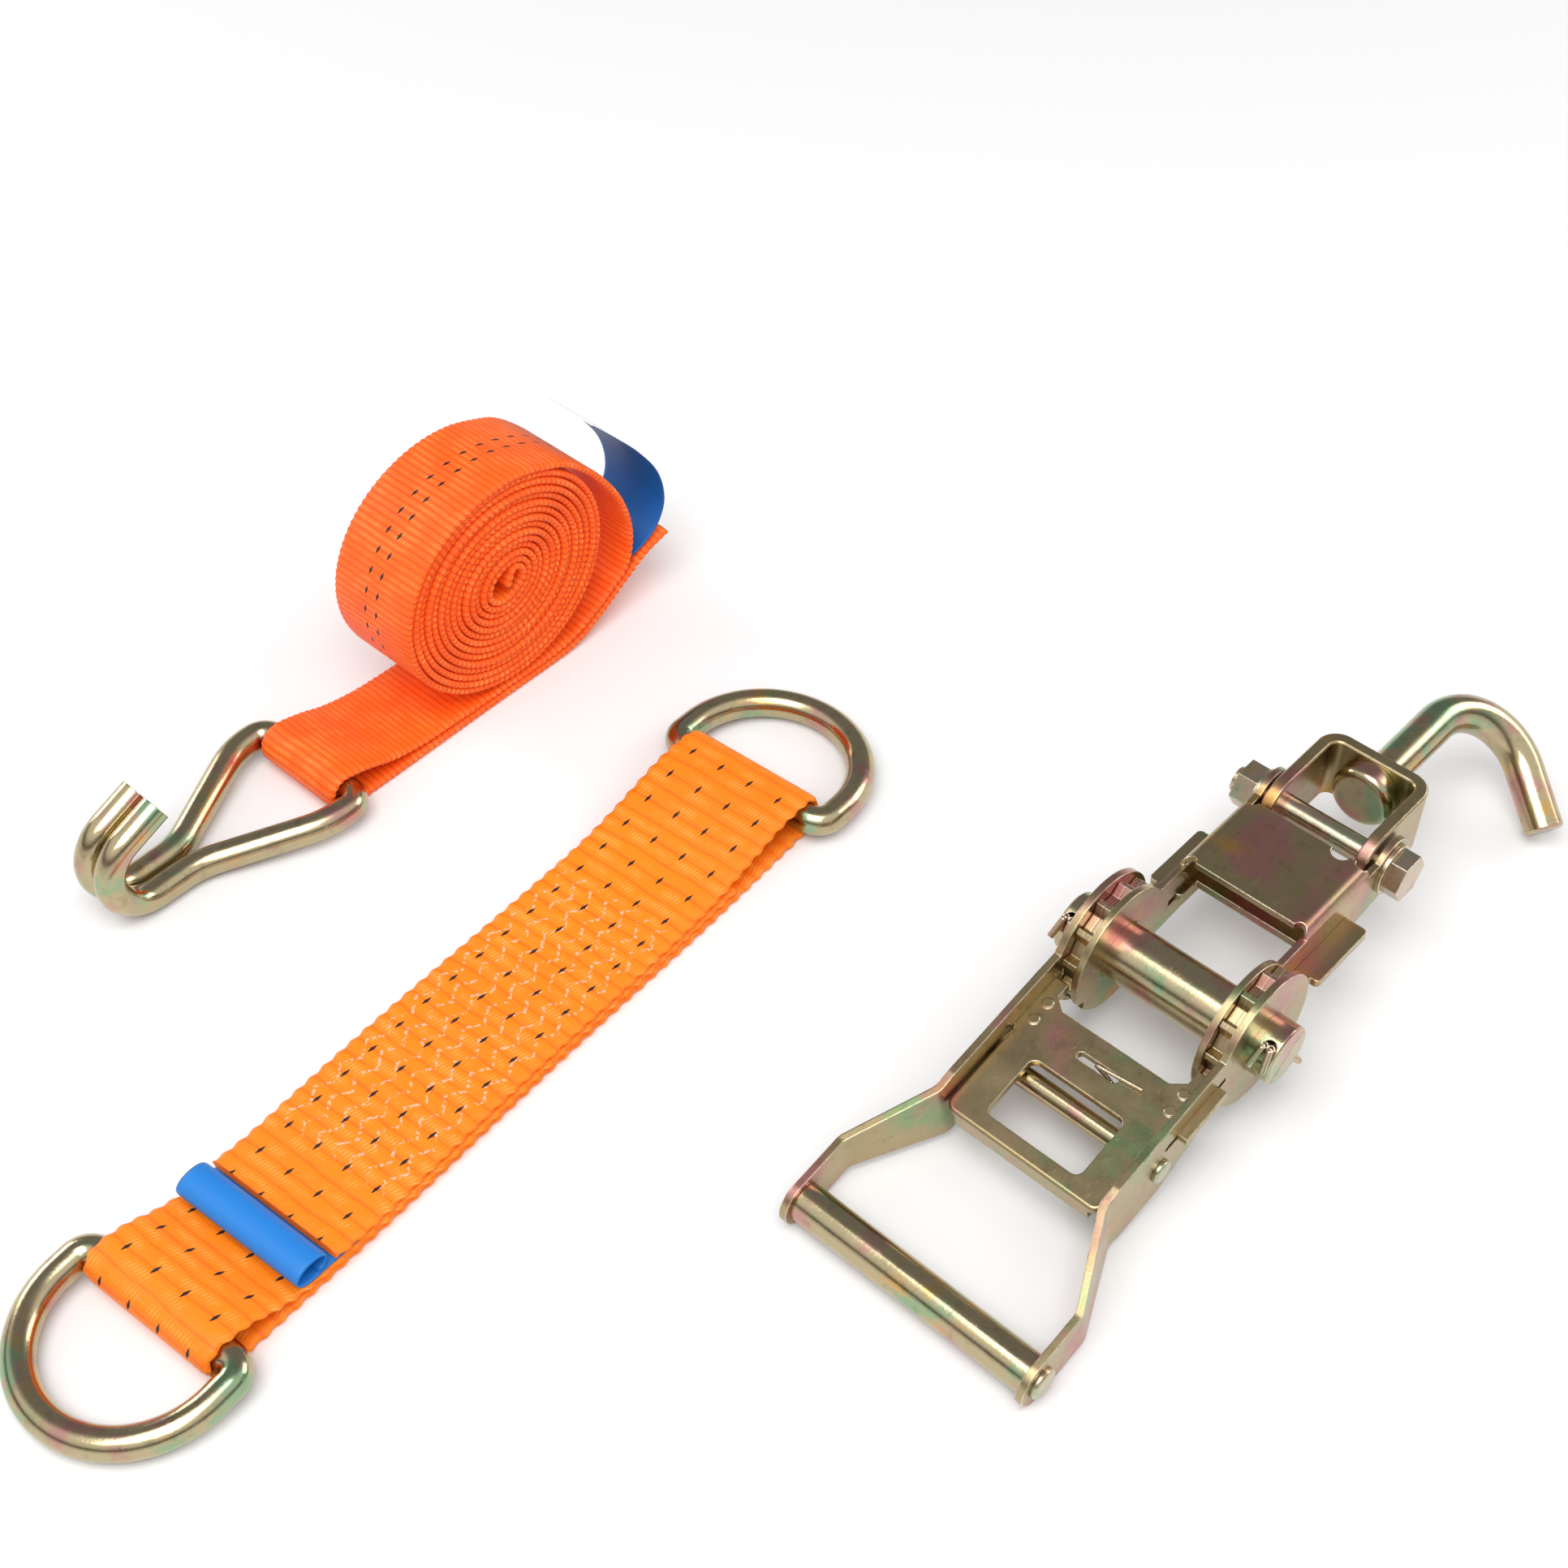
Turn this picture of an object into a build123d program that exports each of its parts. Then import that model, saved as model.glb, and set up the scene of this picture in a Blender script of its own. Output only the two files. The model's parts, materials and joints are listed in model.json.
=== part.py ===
from build123d import *
import math
import os

# Ratchet tie-down set for vehicle transport: a short hand ratchet with a swivel J-hook, a coiled
# lashing strap with a double claw hook, and a short link strap with a D-ring at each end.
# Millimetres. The origin is the centre of the ratchet's spindle, +X runs along the ratchet to the
# hook, +Y along the spindle and +Z up. The ratchet lies web side up with its handle fully open.

os.makedirs("parts", exist_ok=True)

# ---------------------------------------------------------------- driving sizes: fits
RUN = 0.08             # radial clearance of a pin or shaft that turns
SLIDE = 0.3            # clearance round a sliding plate
SEAT = 0.05            # gap between stacked pieces of different bodies
WEB_GAP = 0.3          # gap between webbing and what it lies on or loops round

# ---------------------------------------------------------------- driving sizes: frame
FRAME_INNER = 38.4     # width between the frame's side plates
FRAME_PLATE = 2.0      # sheet thickness
FRAME_HEAD_RIM = 0.5   # rim of the side plates beyond the wheels' teeth
WEB_TOP = 14.0         # top of the cross web above the spindle axis
WEB_START = 29.0       # cross web, edge nearer the spindle
WEB_LENGTH = 31.0      # cross web, length along X
FRAME_FOOT = -7.5      # lower edge of the side plates beyond the head
FRAME_THROAT = -10.0   # lower edge where it runs into the head, clear of the closed handle's pawl
FRAME_BEND = 1.6       # inside bend radius of the U
RELIEF_R = 1.8         # relief holes where the bends end
NOTCH_R = 3.0          # half-round notch in the web's hook edge
WEB_NOTCH_Y = 11.5     # its centre from the middle
LOCK_NOTCH_R = 2.2     # notch in the head that holds the open handle
LOCK_NOTCH_ANGLE = 212.0
BOLT_X = 73.0          # clevis bolt from the spindle, along X
BOLT_Z = 4.0           # clevis bolt above the spindle axis
FRAME_TAIL_R = 9.5     # rounded end of the side plates round the bolt

# ---------------------------------------------------------------- driving sizes: spindle and wheels
DRUM_R = 9.0           # two half-round bars together
DRUM_PROUD = 7.65      # drum standing out of the handle plates
DRUM_SEAM = 0.8        # gap between the halves at their ends
DRUM_SLOT = 3.8        # slot for the webbing between the side plates
SLOT_ANGLE = 40.0      # slot direction above +X
WHEEL_SHEET = 2.3      # one stamped disc
WHEEL_TIP_R = 19.5
WHEEL_ROOT_R = 16.3
TEETH = 12
PIN_WIRE_R = 1.0       # split pin, radius of one leg
PIN_FROM_END = 3.0     # split pin axis from the end of the drum
PIN_BEND = 7.0         # bent end of a leg
DRUM_CHAMFER = 0.5

# ---------------------------------------------------------------- driving sizes: pawls
PAWL_SHEET = 2.5
PAWL_ENGAGE = 3.4      # travel of a pawl into the teeth
PAWL_PULL = 4.0        # travel of the handle pawl away from its resting place
FRAME_EAR_START = 26.0
FRAME_EAR_END = 51.0
EAR_PROUD = 2.55       # frame pawl's ears beyond the inside of the handle plates
FRAME_PAWL_BACK = 34.0  # front edge of the pawl between the side plates
TAB_LEAD = 0.6         # tabs start behind the tips of the prongs
HANDLE_TAB_END = 38.4
TAB_PROUD = 2.95       # tabs standing out of the handle plates
HANDLE_PAWL_FRONT = 27.6
HANDLE_PAWL_END = 69.3
WINDOW_START = 43.5
WINDOW_END = 64.2
WINDOW_HALF = 15.5
SPRING_SLOT_X = 35.3
SPRING_SLOT_LENGTH = 13.6
SPRING_SLOT_WIDTH = 2.6
WINDOW_R = 2.5
PRONG_GAP = 0.5        # between a prong and the frame plate
LIP_DEPTH = 7.0
LIP_CORNER_R = 3.5
EAR_CORNER_R = 1.5
SLOT_NOTCH_R = 1.2
DIMPLE_X = 31.0
DIMPLE_PITCH = 6.2
DIMPLE_Y = 22.8
DIMPLE_R = 1.6
DIMPLE_HEIGHT = 0.35
FRAME_SPRING_WIRE_R = 0.7
FRAME_SPRING_SPAN = 12.0
FRAME_SPRING_R = 4.0
FRAME_SPRING_SEAT = 1.0
PAWL_SPRING_WIRE_R = 0.6
PAWL_SPRING_TURNS = 4

# ---------------------------------------------------------------- driving sizes: handle
HANDLE_PLATE = 2.2
HANDLE_HEAD_RIM = 1.5  # handle plates' heads beyond the teeth
HANDLE_DROOP = 11.0    # the open handle slopes down to the grip
HANDLE_TOP = 12.0      # top edge of the plates above the handle's axis
HANDLE_FOOT = 14.0     # lower edge of the plates below it
NECK_START = 20.0      # the lower edge clears the frame pawl's ears between these
NECK_END = 47.0
NECK_FOOT = 5.4
OUTLINE_R = 5.0
FLARE_R = 6.0
FLARE_START = 69.0
FLARE_END = 95.0
TAPER_LEAD = 6.0       # the taper of the outline starts this far before the flare
GRIP_X = 112.3         # grip from the spindle, along the handle
GRIP_INNER = 77.0      # width between the plates at the grip
GRIP_LOBE_R = 7.5
GRIP_TUBE_R = 5.75
GRIP_TUBE_WALL = 1.5
ROD_X = 46.5
ROD_DROP = 3.0         # cross rod below the handle's axis
ROD_SLEEVE_R = 3.2
RIVET_R = 2.2
RIVET_HEAD_R = 3.6
RIVET_HEAD = 1.6

# ---------------------------------------------------------------- driving sizes: clevis and hook
CLEVIS_PLAY = 1.2      # on each side between the clevis and the frame
CLEVIS_SHEET = 4.0
CLEVIS_LENGTH = 27.0   # bolt axis to the outside of the clevis web
CLEVIS_HEIGHT = 22.0
BOLT_R = 4.0
HEX_FLATS = 13.0
HEX_HEAD = 5.3
NUT_HEIGHT = 6.5
WASHER_R = 8.0
WASHER = 1.4
HOOK_ROD_R = 6.0
HOOK_HEAD_R = 10.0
HOOK_HEAD = 6.5
HOOK_HEAD_ROUND = 2.5
HOOK_SHANK = 32.0      # clevis web to the start of the bend
HOOK_BEND_R = 20.5
HOOK_BEND = 116.0      # angle of the bend
HOOK_TIP = 20.0        # straight end after the bend
HOOK_ROLL = 35.0       # the hook has swivelled until its tip is down
HOOK_CHAMFER = 0.6
CLEVIS_BEND = 3.0
CLEVIS_CHAMFER = 0.5
BOLT_END = 2.0         # bolt standing out of its nut

# ---------------------------------------------------------------- driving sizes: long strap
STRAP_WIDTH = 35.0
STRAP_SHEET = 2.2
COIL_X = -21.5
COIL_R = 43.0          # half width of the coil
COIL_RISE = 40.5       # half height, a little flattened by its own weight
COIL_CORE_R = 4.0
STRAP_Y = 260.0        # middle of the strap's width
LOOP_X = -94.0         # crossbar of the claw hook
TAIL_END_X = 48.0      # the sewn tail, raised off the floor
TAIL_END_Z = 21.0
TAIL_LIFT_X = -2.0     # both layers leave the floor here
LEAD_END_X = 27.5      # the upper layer turns up into the coil here
LOOSE_TURN_X = 32.5    # the loose outer turn, furthest point
LOOSE_TURN_Z = 36.0
LOOSE_TOP_X = 15.5     # where it comes back to the coil
LOOSE_TOP_Z = 70.5
CLAW_ROD_R = 4.6
CLAW_PRONG_GAP = 0.4   # between the two prongs
CLAW_REACH = 77.5      # crossbar to the far side of the bend
CLAW_BEND_R = 13.9
CLAW_TIP_START = 57.0  # end of a prong, from the crossbar
CLAW_TIP_RISE = 23.0   # slope of a prong's straight end, in degrees
CLAW_JOIN = 49.0       # the arms run side by side from here
CLAW_SHOULDER = 13.0   # the arms leave the strap's width here
CLAW_ARM_R = 26.0
CLAW_CORNER_INSIDE = 0.7  # inside radius where the crossbar meets an arm
LABEL_FOOT_X = 37.5    # the label is sewn to the tail here
LABEL_BULGE_X = 49.5
LABEL_BULGE_Z = 40.0
LABEL_TIP_X = 20.0
LABEL_TIP_Z = 84.0
LABEL_SHIFT = 2.0      # middle of the label from the middle of the strap
LONG_LABEL = 0.6
LONG_LABEL_WIDTH = 28.0

# ---------------------------------------------------------------- driving sizes: link strap
LINK_WIDTH = 48.0
LINK_SHEET = 2.2
LINK_LENGTH = 236.0    # between the D-ring bars
LINK_X = -126.0
LINK_Y = 146.5
LINK_YAW = 3.9
LINK_FLAP_NEAR = 37.0  # top layer's ends from the two ring bars
LINK_FLAP_FAR = 26.0
LINK_TAPER = 23.0      # ring bar to where the layers lie flat on each other
RING_ROD_R = 4.6
RING_SIDE_GAP = 1.0    # webbing to the inside of the ring's legs
RING_LEG = 10.0        # bar to the start of the half circle
RING_CORNER_INSIDE = 0.6
LINK_LABEL_HALF_WIDTH = 6.4   # the label lies in a flattened roll
LINK_LABEL_HALF_HEIGHT = 4.1
LINK_LABEL_WALL = 0.7
LINK_LABEL_LENGTH = 47.0

# ---------------------------------------------------------------- sizes that follow
frame_half = FRAME_INNER / 2
frame_outer = frame_half + FRAME_PLATE
wheel_stack = 2 * WHEEL_SHEET + SEAT
frame_head_r = WHEEL_TIP_R + FRAME_HEAD_RIM
handle_head_r = WHEEL_TIP_R + HANDLE_HEAD_RIM
wheel_start = frame_outer + SLIDE / 2
handle_half = wheel_start + wheel_stack + SLIDE / 2
handle_outer = handle_half + HANDLE_PLATE
web_end = WEB_START + WEB_LENGTH
droop = math.radians(HANDLE_DROOP)
pawl_offset = (WHEEL_ROOT_R + WHEEL_TIP_R) / 2 * math.sin(droop)
pawl_tip_r = WHEEL_TIP_R + 0.7
handle_tip_x = math.sqrt(pawl_tip_r**2 - pawl_offset**2)
handle_tab_start = handle_tip_x + TAB_LEAD
handle_tab_reach = handle_outer + TAB_PROUD
prong_inner = frame_outer + PRONG_GAP
frame_ear_reach = handle_half + EAR_PROUD
drum_half = handle_outer + DRUM_PROUD
clevis_width = FRAME_INNER - 2 * CLEVIS_PLAY
grip_half = GRIP_INNER / 2
grip_outer = grip_half + HANDLE_PLATE
floor_z = -(GRIP_X * math.sin(droop) + GRIP_LOBE_R)
slot_angle = math.radians(SLOT_ANGLE)
hook_roll = math.radians(HOOK_ROLL)
link_yaw = math.radians(LINK_YAW)

bend_line = WEB_TOP - FRAME_BEND - FRAME_PLATE
wheel_middle = wheel_start + wheel_stack / 2
frame_slot_start = FRAME_EAR_START - PAWL_ENGAGE - SLIDE
frame_slot_end = FRAME_EAR_END + SLIDE
frame_ear_width = frame_ear_reach - frame_half + EAR_CORNER_R
frame_ear_middle = frame_ear_reach - frame_ear_width / 2
bow_depth = BOLT_X - BOLT_R - 2 * FRAME_SPRING_R - FRAME_EAR_END
pin_y = drum_half - PIN_FROM_END
pin_leg_y = PIN_WIRE_R + SEAT
pawl_half = handle_half - SLIDE
tab_slot_start = handle_tab_start - PAWL_ENGAGE - SLIDE
tab_slot_end = HANDLE_TAB_END + PAWL_PULL + SLIDE

# ---------------------------------------------------------------- working planes
side = Plane(origin=(0, 0, 0), x_dir=(1, 0, 0), z_dir=(0, -1, 0))
handle_dir = Vector(-math.cos(droop), 0, -math.sin(droop))
handle_up = Vector(-math.sin(droop), 0, math.cos(droop))
handle_side = Plane(origin=(0, 0, 0), x_dir=handle_dir, z_dir=(0, 1, 0))
handle_flat = Plane(origin=(0, 0, 0), x_dir=handle_dir, z_dir=handle_up)
pawl_flat = handle_flat.offset(pawl_offset)
slot_dir = Vector(math.cos(slot_angle), 0, math.sin(slot_angle))
slot_normal = Vector(-math.sin(slot_angle), 0, math.cos(slot_angle))
slot_plane = Plane(origin=(0, 0, 0), x_dir=slot_dir, z_dir=(0, -1, 0))
pin_plane = Plane(origin=(0, 0, 0), x_dir=slot_dir, z_dir=slot_normal)
bolt_side = Plane(origin=(BOLT_X, 0, BOLT_Z), x_dir=(1, 0, 0), z_dir=(0, -1, 0))
hook_drop = Vector(0, -math.cos(hook_roll), -math.sin(hook_roll))
hook_plane = Plane(
    origin=(BOLT_X + CLEVIS_LENGTH, 0, BOLT_Z), x_dir=(1, 0, 0), z_dir=Vector(1, 0, 0).cross(hook_drop)
)
strap_side = Plane(origin=(0, STRAP_Y, floor_z), x_dir=(1, 0, 0), z_dir=(0, -1, 0))
link_dir = Vector(math.cos(link_yaw), math.sin(link_yaw), 0)
link_side = Plane(
    origin=(LINK_X, LINK_Y, floor_z), x_dir=link_dir, z_dir=(math.sin(link_yaw), -math.cos(link_yaw), 0)
)

# ================================================================ frame
# One sheet bent to a U: two side plates with round heads, joined by the cross web.
with BuildPart() as frame_channel:
    for plate_side in (1, -1):
        with BuildSketch(side.offset(plate_side * frame_half)):
            Circle(frame_head_r)
            with BuildLine():
                Polyline(
                    (0, bend_line),
                    (BOLT_X, bend_line),
                    (BOLT_X, BOLT_Z - FRAME_TAIL_R),
                    (web_end, FRAME_FOOT),
                    (WEB_START, FRAME_FOOT),
                    (0, FRAME_THROAT),
                    close=True,
                )
            make_face()
            with Locations((BOLT_X, BOLT_Z)):
                Circle(FRAME_TAIL_R)
        extrude(amount=plate_side * FRAME_PLATE)
    # the web and its two bends
    with BuildSketch(Plane.YZ.offset(WEB_START)):
        with Locations((0, WEB_TOP - frame_outer)):
            web_outside = Rectangle(2 * frame_outer, 2 * frame_outer)
        fillet(web_outside.vertices().group_by(Axis.Y)[-1], FRAME_BEND + FRAME_PLATE)
        with BuildSketch(mode=Mode.PRIVATE) as web_hollow:
            with Locations((0, WEB_TOP - FRAME_PLATE - frame_outer)):
                hollow = Rectangle(FRAME_INNER, 2 * frame_outer)
            fillet(hollow.vertices().group_by(Axis.Y)[-1], FRAME_BEND)
        add(web_hollow.sketch, mode=Mode.SUBTRACT)
        with Locations((0, bend_line - frame_outer)):
            Rectangle(2 * frame_outer, 2 * frame_outer, mode=Mode.SUBTRACT)
    extrude(amount=WEB_LENGTH)
    # relief holes where the bends end, and the notch in the hook edge
    with BuildSketch(Plane.XY.offset(bend_line)):
        with Locations((WEB_START + WEB_LENGTH / 2, 0)):
            with GridLocations(WEB_LENGTH, FRAME_INNER - RELIEF_R, 2, 2):
                Circle(RELIEF_R)
        with Locations((web_end, -WEB_NOTCH_Y)):
            Circle(NOTCH_R)
    extrude(amount=WEB_TOP, mode=Mode.SUBTRACT)
    # spindle and bolt holes, pawl slots and the handle's locking notch
    with BuildSketch(side):
        Circle(DRUM_R + RUN)
        with Locations((BOLT_X, BOLT_Z)):
            Circle(BOLT_R + RUN)
        with Locations(((frame_slot_start + frame_slot_end) / 2, 0)):
            Rectangle(frame_slot_end - frame_slot_start, PAWL_SHEET + SLIDE)
        with PolarLocations(frame_head_r, 1, start_angle=LOCK_NOTCH_ANGLE):
            Circle(LOCK_NOTCH_R)
    extrude(amount=frame_outer, both=True, mode=Mode.SUBTRACT)
frame_channel.part.label = "frame_channel"
export_step(frame_channel.part, "parts/frame_channel.step")

# The frame pawl slides in the side plates' slots; its ears stand out beside them.
with BuildPart() as frame_pawl:
    with BuildSketch(Plane.XY):
        with Locations(((FRAME_PAWL_BACK + FRAME_EAR_END) / 2, 0)):
            Rectangle(FRAME_EAR_END - FRAME_PAWL_BACK, 2 * frame_half)
        with Locations(((FRAME_EAR_START + FRAME_EAR_END) / 2, 0)):
            with GridLocations(1, 2 * frame_ear_middle, 1, 2):
                RectangleRounded(FRAME_EAR_END - FRAME_EAR_START, frame_ear_width, EAR_CORNER_R)
        with Locations(((pawl_tip_r + FRAME_EAR_START) / 2 + EAR_CORNER_R, 0)):
            with GridLocations(1, 2 * wheel_middle, 1, 2):
                Rectangle(FRAME_EAR_START - pawl_tip_r + 2 * EAR_CORNER_R, wheel_stack)
        with Locations((FRAME_EAR_END, 0)):
            Rectangle(2 * FRAME_SPRING_SEAT, FRAME_SPRING_R * 2, mode=Mode.SUBTRACT)
    extrude(amount=PAWL_SHEET / 2, both=True)
frame_pawl.part.label = "frame_pawl"
export_step(frame_pawl.part, "parts/frame_pawl.step")

# A bow of spring wire behind the frame pawl, its ends resting against the clevis bolt's side.
with BuildPart() as frame_pawl_spring:
    with BuildLine(Plane.XY) as bow_path:
        FilletPolyline(
            (FRAME_EAR_END + bow_depth, -FRAME_SPRING_SPAN),
            (FRAME_EAR_END + FRAME_SPRING_WIRE_R + SEAT, -FRAME_SPRING_SPAN / 2),
            (FRAME_EAR_END + FRAME_SPRING_WIRE_R + SEAT, FRAME_SPRING_SPAN / 2),
            (FRAME_EAR_END + bow_depth, FRAME_SPRING_SPAN),
            radius=FRAME_SPRING_R,
        )
    with BuildSketch(Plane(bow_path.line @ 0, z_dir=bow_path.line % 0)):
        Circle(FRAME_SPRING_WIRE_R)
    sweep()
frame_pawl_spring.part.label = "frame_pawl_spring"
export_step(frame_pawl_spring.part, "parts/frame_pawl_spring.step")


# ================================================================ spindle
def spindle_half(name, direction):
    """One half-round bar, cut back along its middle so that the two leave a slot for the webbing."""
    with BuildPart() as half:
        with BuildSketch(slot_plane):
            Circle(DRUM_R)
            with Locations((0, direction * (DRUM_R + DRUM_SEAM / 2))):
                Rectangle(2 * DRUM_R, 2 * DRUM_R, mode=Mode.INTERSECT)
        extrude(amount=drum_half, both=True)
        chamfer(half.edges().filter_by(GeomType.CIRCLE), DRUM_CHAMFER)
        with BuildSketch(slot_plane):
            Rectangle(2 * DRUM_R, DRUM_SLOT)
        extrude(amount=frame_half - SLIDE, both=True, mode=Mode.SUBTRACT)
        with BuildSketch(pin_plane):
            with GridLocations(1, 2 * pin_y, 1, 2):
                Circle(2 * PIN_WIRE_R + SEAT)
        extrude(amount=2 * DRUM_R, both=True, mode=Mode.SUBTRACT)
    half.part.label = name
    export_step(half.part, f"parts/{name}.step")


spindle_half("spindle_half_upper", 1)
spindle_half("spindle_half_lower", -1)

# Two stamped toothed discs on each side, between the frame plate and the handle plate.
tooth_pitch = 360 / TEETH
tooth_shape = ((-8, WHEEL_ROOT_R), (8, WHEEL_ROOT_R), (10, WHEEL_TIP_R), (15, WHEEL_TIP_R))
wheel_points = []
for tooth in range(TEETH):
    for angle, radius in tooth_shape:
        turned = math.radians(angle + tooth * tooth_pitch)
        wheel_points.append((radius * math.cos(turned), radius * math.sin(turned)))

for hand, sign in (("left", 1), ("right", -1)):
    with BuildPart() as wheels:
        for disc in range(2):
            inner_face = sign * (wheel_start + disc * (WHEEL_SHEET + SEAT))
            with BuildSketch(Plane(origin=(0, inner_face, 0), x_dir=(1, 0, 0), z_dir=(0, -1, 0))):
                Polygon(*wheel_points, align=None)
                Circle(DRUM_R + SEAT, mode=Mode.SUBTRACT)
            extrude(amount=-sign * WHEEL_SHEET)
    wheels.part.label = f"ratchet_wheels_{hand}"
    export_step(wheels.part, f"parts/ratchet_wheels_{hand}.step")

# A split pin through each end of the spindle, its legs bent over on the upper side.
with BuildPart() as split_pins:
    for sign in (1, -1):
        origin = Vector(0, sign * pin_y, 0)
        pin_points = []
        for along, across, aside in (
            (DRUM_R + PIN_WIRE_R, -PIN_BEND, -2.2 * PIN_WIRE_R),
            (DRUM_R + 2 * PIN_WIRE_R, 0, -pin_leg_y),
            (-DRUM_R - PIN_WIRE_R, 0, -pin_leg_y),
            (-DRUM_R - 4 * PIN_WIRE_R, 0, -3 * PIN_WIRE_R),
            (-DRUM_R - 7 * PIN_WIRE_R, 0, 0),
            (-DRUM_R - 4 * PIN_WIRE_R, 0, 3 * PIN_WIRE_R),
            (-DRUM_R - PIN_WIRE_R, 0, pin_leg_y),
            (DRUM_R + 2 * PIN_WIRE_R, 0, pin_leg_y),
            (DRUM_R + PIN_WIRE_R, -PIN_BEND, 2.2 * PIN_WIRE_R),
        ):
            pin_points.append(origin + slot_normal * along + slot_dir * across + Vector(0, aside, 0))
        with BuildLine() as pin_path:
            Polyline(*pin_points)
        with BuildSketch(Plane(pin_path.line @ 0, z_dir=pin_path.line % 0)):
            Circle(PIN_WIRE_R)
        sweep(transition=Transition.ROUND)
split_pins.part.label = "split_pins"
export_step(split_pins.part, "parts/split_pins.step")


# ================================================================ handle
def handle_outline():
    """Side outline of a handle plate: head, straight stretch, taper and grip lobe."""
    with BuildSketch() as outline:
        Circle(handle_head_r)
        with Locations((GRIP_X, 0)):
            Circle(GRIP_LOBE_R)
        with BuildLine():
            Polyline(
                (0, HANDLE_TOP),
                (FLARE_START - TAPER_LEAD, HANDLE_TOP),
                (FLARE_END, GRIP_LOBE_R),
                (GRIP_X, GRIP_LOBE_R),
                (GRIP_X, -GRIP_LOBE_R),
                (FLARE_END, -GRIP_LOBE_R),
                (FLARE_START - TAPER_LEAD, -HANDLE_FOOT),
                (NECK_END, -HANDLE_FOOT),
                (NECK_START, -NECK_FOOT),
                (0, -NECK_FOOT),
                close=True,
            )
        make_face()
        fillet(outline.vertices().filter_by_position(Axis.X, NECK_END - 1, GRIP_X - 1), OUTLINE_R)
    return outline.sketch


def flared_band(sign):
    """Plan of a handle plate's sheet: straight, bent outward, then parallel again at the grip."""
    inner = [
        (-handle_head_r - 1, handle_half),
        (FLARE_START, handle_half),
        (FLARE_END, grip_half),
        (GRIP_X + 2 * GRIP_LOBE_R, grip_half),
    ]
    flare_angle = math.atan2(grip_half - handle_half, FLARE_END - FLARE_START)
    corner_shift = HANDLE_PLATE * math.tan(flare_angle / 2)
    outer = [
        (inner[3][0], grip_outer),
        (FLARE_END - corner_shift, grip_outer),
        (FLARE_START - corner_shift, handle_outer),
        (inner[0][0], handle_outer),
    ]
    return [(x, -sign * y) for x, y in inner + outer]


for hand, sign in (("left", 1), ("right", -1)):
    with BuildPart() as handle_plate:
        with BuildSketch(handle_flat):
            band = Polygon(*flared_band(sign), align=None)
        extrude(amount=2 * handle_head_r, both=True)
        fillet(
            handle_plate.edges().filter_by(lambda edge: abs(edge.tangent_at(0).dot(handle_up)) > 0.99)
            .filter_by(lambda edge: FLARE_START - 3 < edge.center().dot(handle_dir) < FLARE_END + 1),
            FLARE_R,
        )
        with BuildSketch(handle_side):
            add(handle_outline())
        extrude(amount=2 * grip_outer, both=True, mode=Mode.INTERSECT)
        with BuildSketch(handle_side):
            Circle(DRUM_R + RUN)
            with Locations((GRIP_X, 0)):
                Circle(RIVET_R + SEAT)
            with Locations((ROD_X, -ROD_DROP)):
                Circle(RIVET_R + SEAT)
            with Locations(((tab_slot_start + tab_slot_end) / 2, pawl_offset)):
                Rectangle(tab_slot_end - tab_slot_start, PAWL_SHEET + SLIDE)
            with Locations((tab_slot_end, pawl_offset)):
                Circle(SLOT_NOTCH_R)
        extrude(amount=2 * grip_outer, both=True, mode=Mode.SUBTRACT)
    handle_plate.part.label = f"handle_plate_{hand}"
    export_step(handle_plate.part, f"parts/handle_plate_{hand}.step")

# The handle pawl: prongs at the wheels, tabs in the handle plates' slots, a window and a finger lip.
with BuildPart() as handle_pawl:
    with BuildSketch(pawl_flat):
        with BuildLine():
            half_outline = [
                (HANDLE_PAWL_FRONT, 0),
                (HANDLE_PAWL_FRONT, prong_inner - 4),
                (HANDLE_PAWL_FRONT - 3, prong_inner),
                (handle_tip_x, prong_inner),
                (handle_tip_x, pawl_half),
                (handle_tab_start, pawl_half),
                (handle_tab_start, handle_tab_reach),
                (HANDLE_TAB_END, handle_tab_reach),
                (HANDLE_TAB_END, pawl_half),
                (HANDLE_PAWL_END, pawl_half),
            ]
            Polyline(*half_outline, *[(x, -y) for x, y in reversed(half_outline[1:])], close=True)
        outline = make_face()
        fillet(outline.vertices().group_by(Axis.X)[-1], LIP_CORNER_R)
        with Locations(((WINDOW_START + WINDOW_END) / 2, 0)):
            RectangleRounded(WINDOW_END - WINDOW_START, 2 * WINDOW_HALF, WINDOW_R, mode=Mode.SUBTRACT)
        with Locations((SPRING_SLOT_X, 0)):
            SlotOverall(SPRING_SLOT_LENGTH, SPRING_SLOT_WIDTH, rotation=90, mode=Mode.SUBTRACT)
        with Locations((HANDLE_TAB_END + 2, pawl_half), (HANDLE_TAB_END + 2, -pawl_half)):
            Circle(SLOT_NOTCH_R, mode=Mode.SUBTRACT)
    extrude(amount=PAWL_SHEET / 2, both=True)
    # finger lip, bent down at the grip end
    with BuildSketch(pawl_flat.offset(PAWL_SHEET / 2)):
        with Locations((HANDLE_PAWL_END - PAWL_SHEET / 2, 0)):
            Rectangle(PAWL_SHEET, 2 * (pawl_half - LIP_CORNER_R))
    extrude(amount=-LIP_DEPTH)
    lip_edges = handle_pawl.edges().filter_by(Axis.Y).filter_by(
        lambda edge: edge.center().dot(handle_dir) > HANDLE_PAWL_END - SEAT
    )
    fillet(lip_edges.sort_by(Axis.Z)[-1], PAWL_SHEET * 0.4)
    # stake dimples beside the front edge
    with BuildSketch(pawl_flat.offset(PAWL_SHEET / 2)):
        with Locations((DIMPLE_X, 0)):
            with GridLocations(DIMPLE_PITCH, 2 * DIMPLE_Y, 2, 2):
                Circle(DIMPLE_R)
    extrude(amount=DIMPLE_HEIGHT)
handle_pawl.part.label = "handle_pawl"
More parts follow.
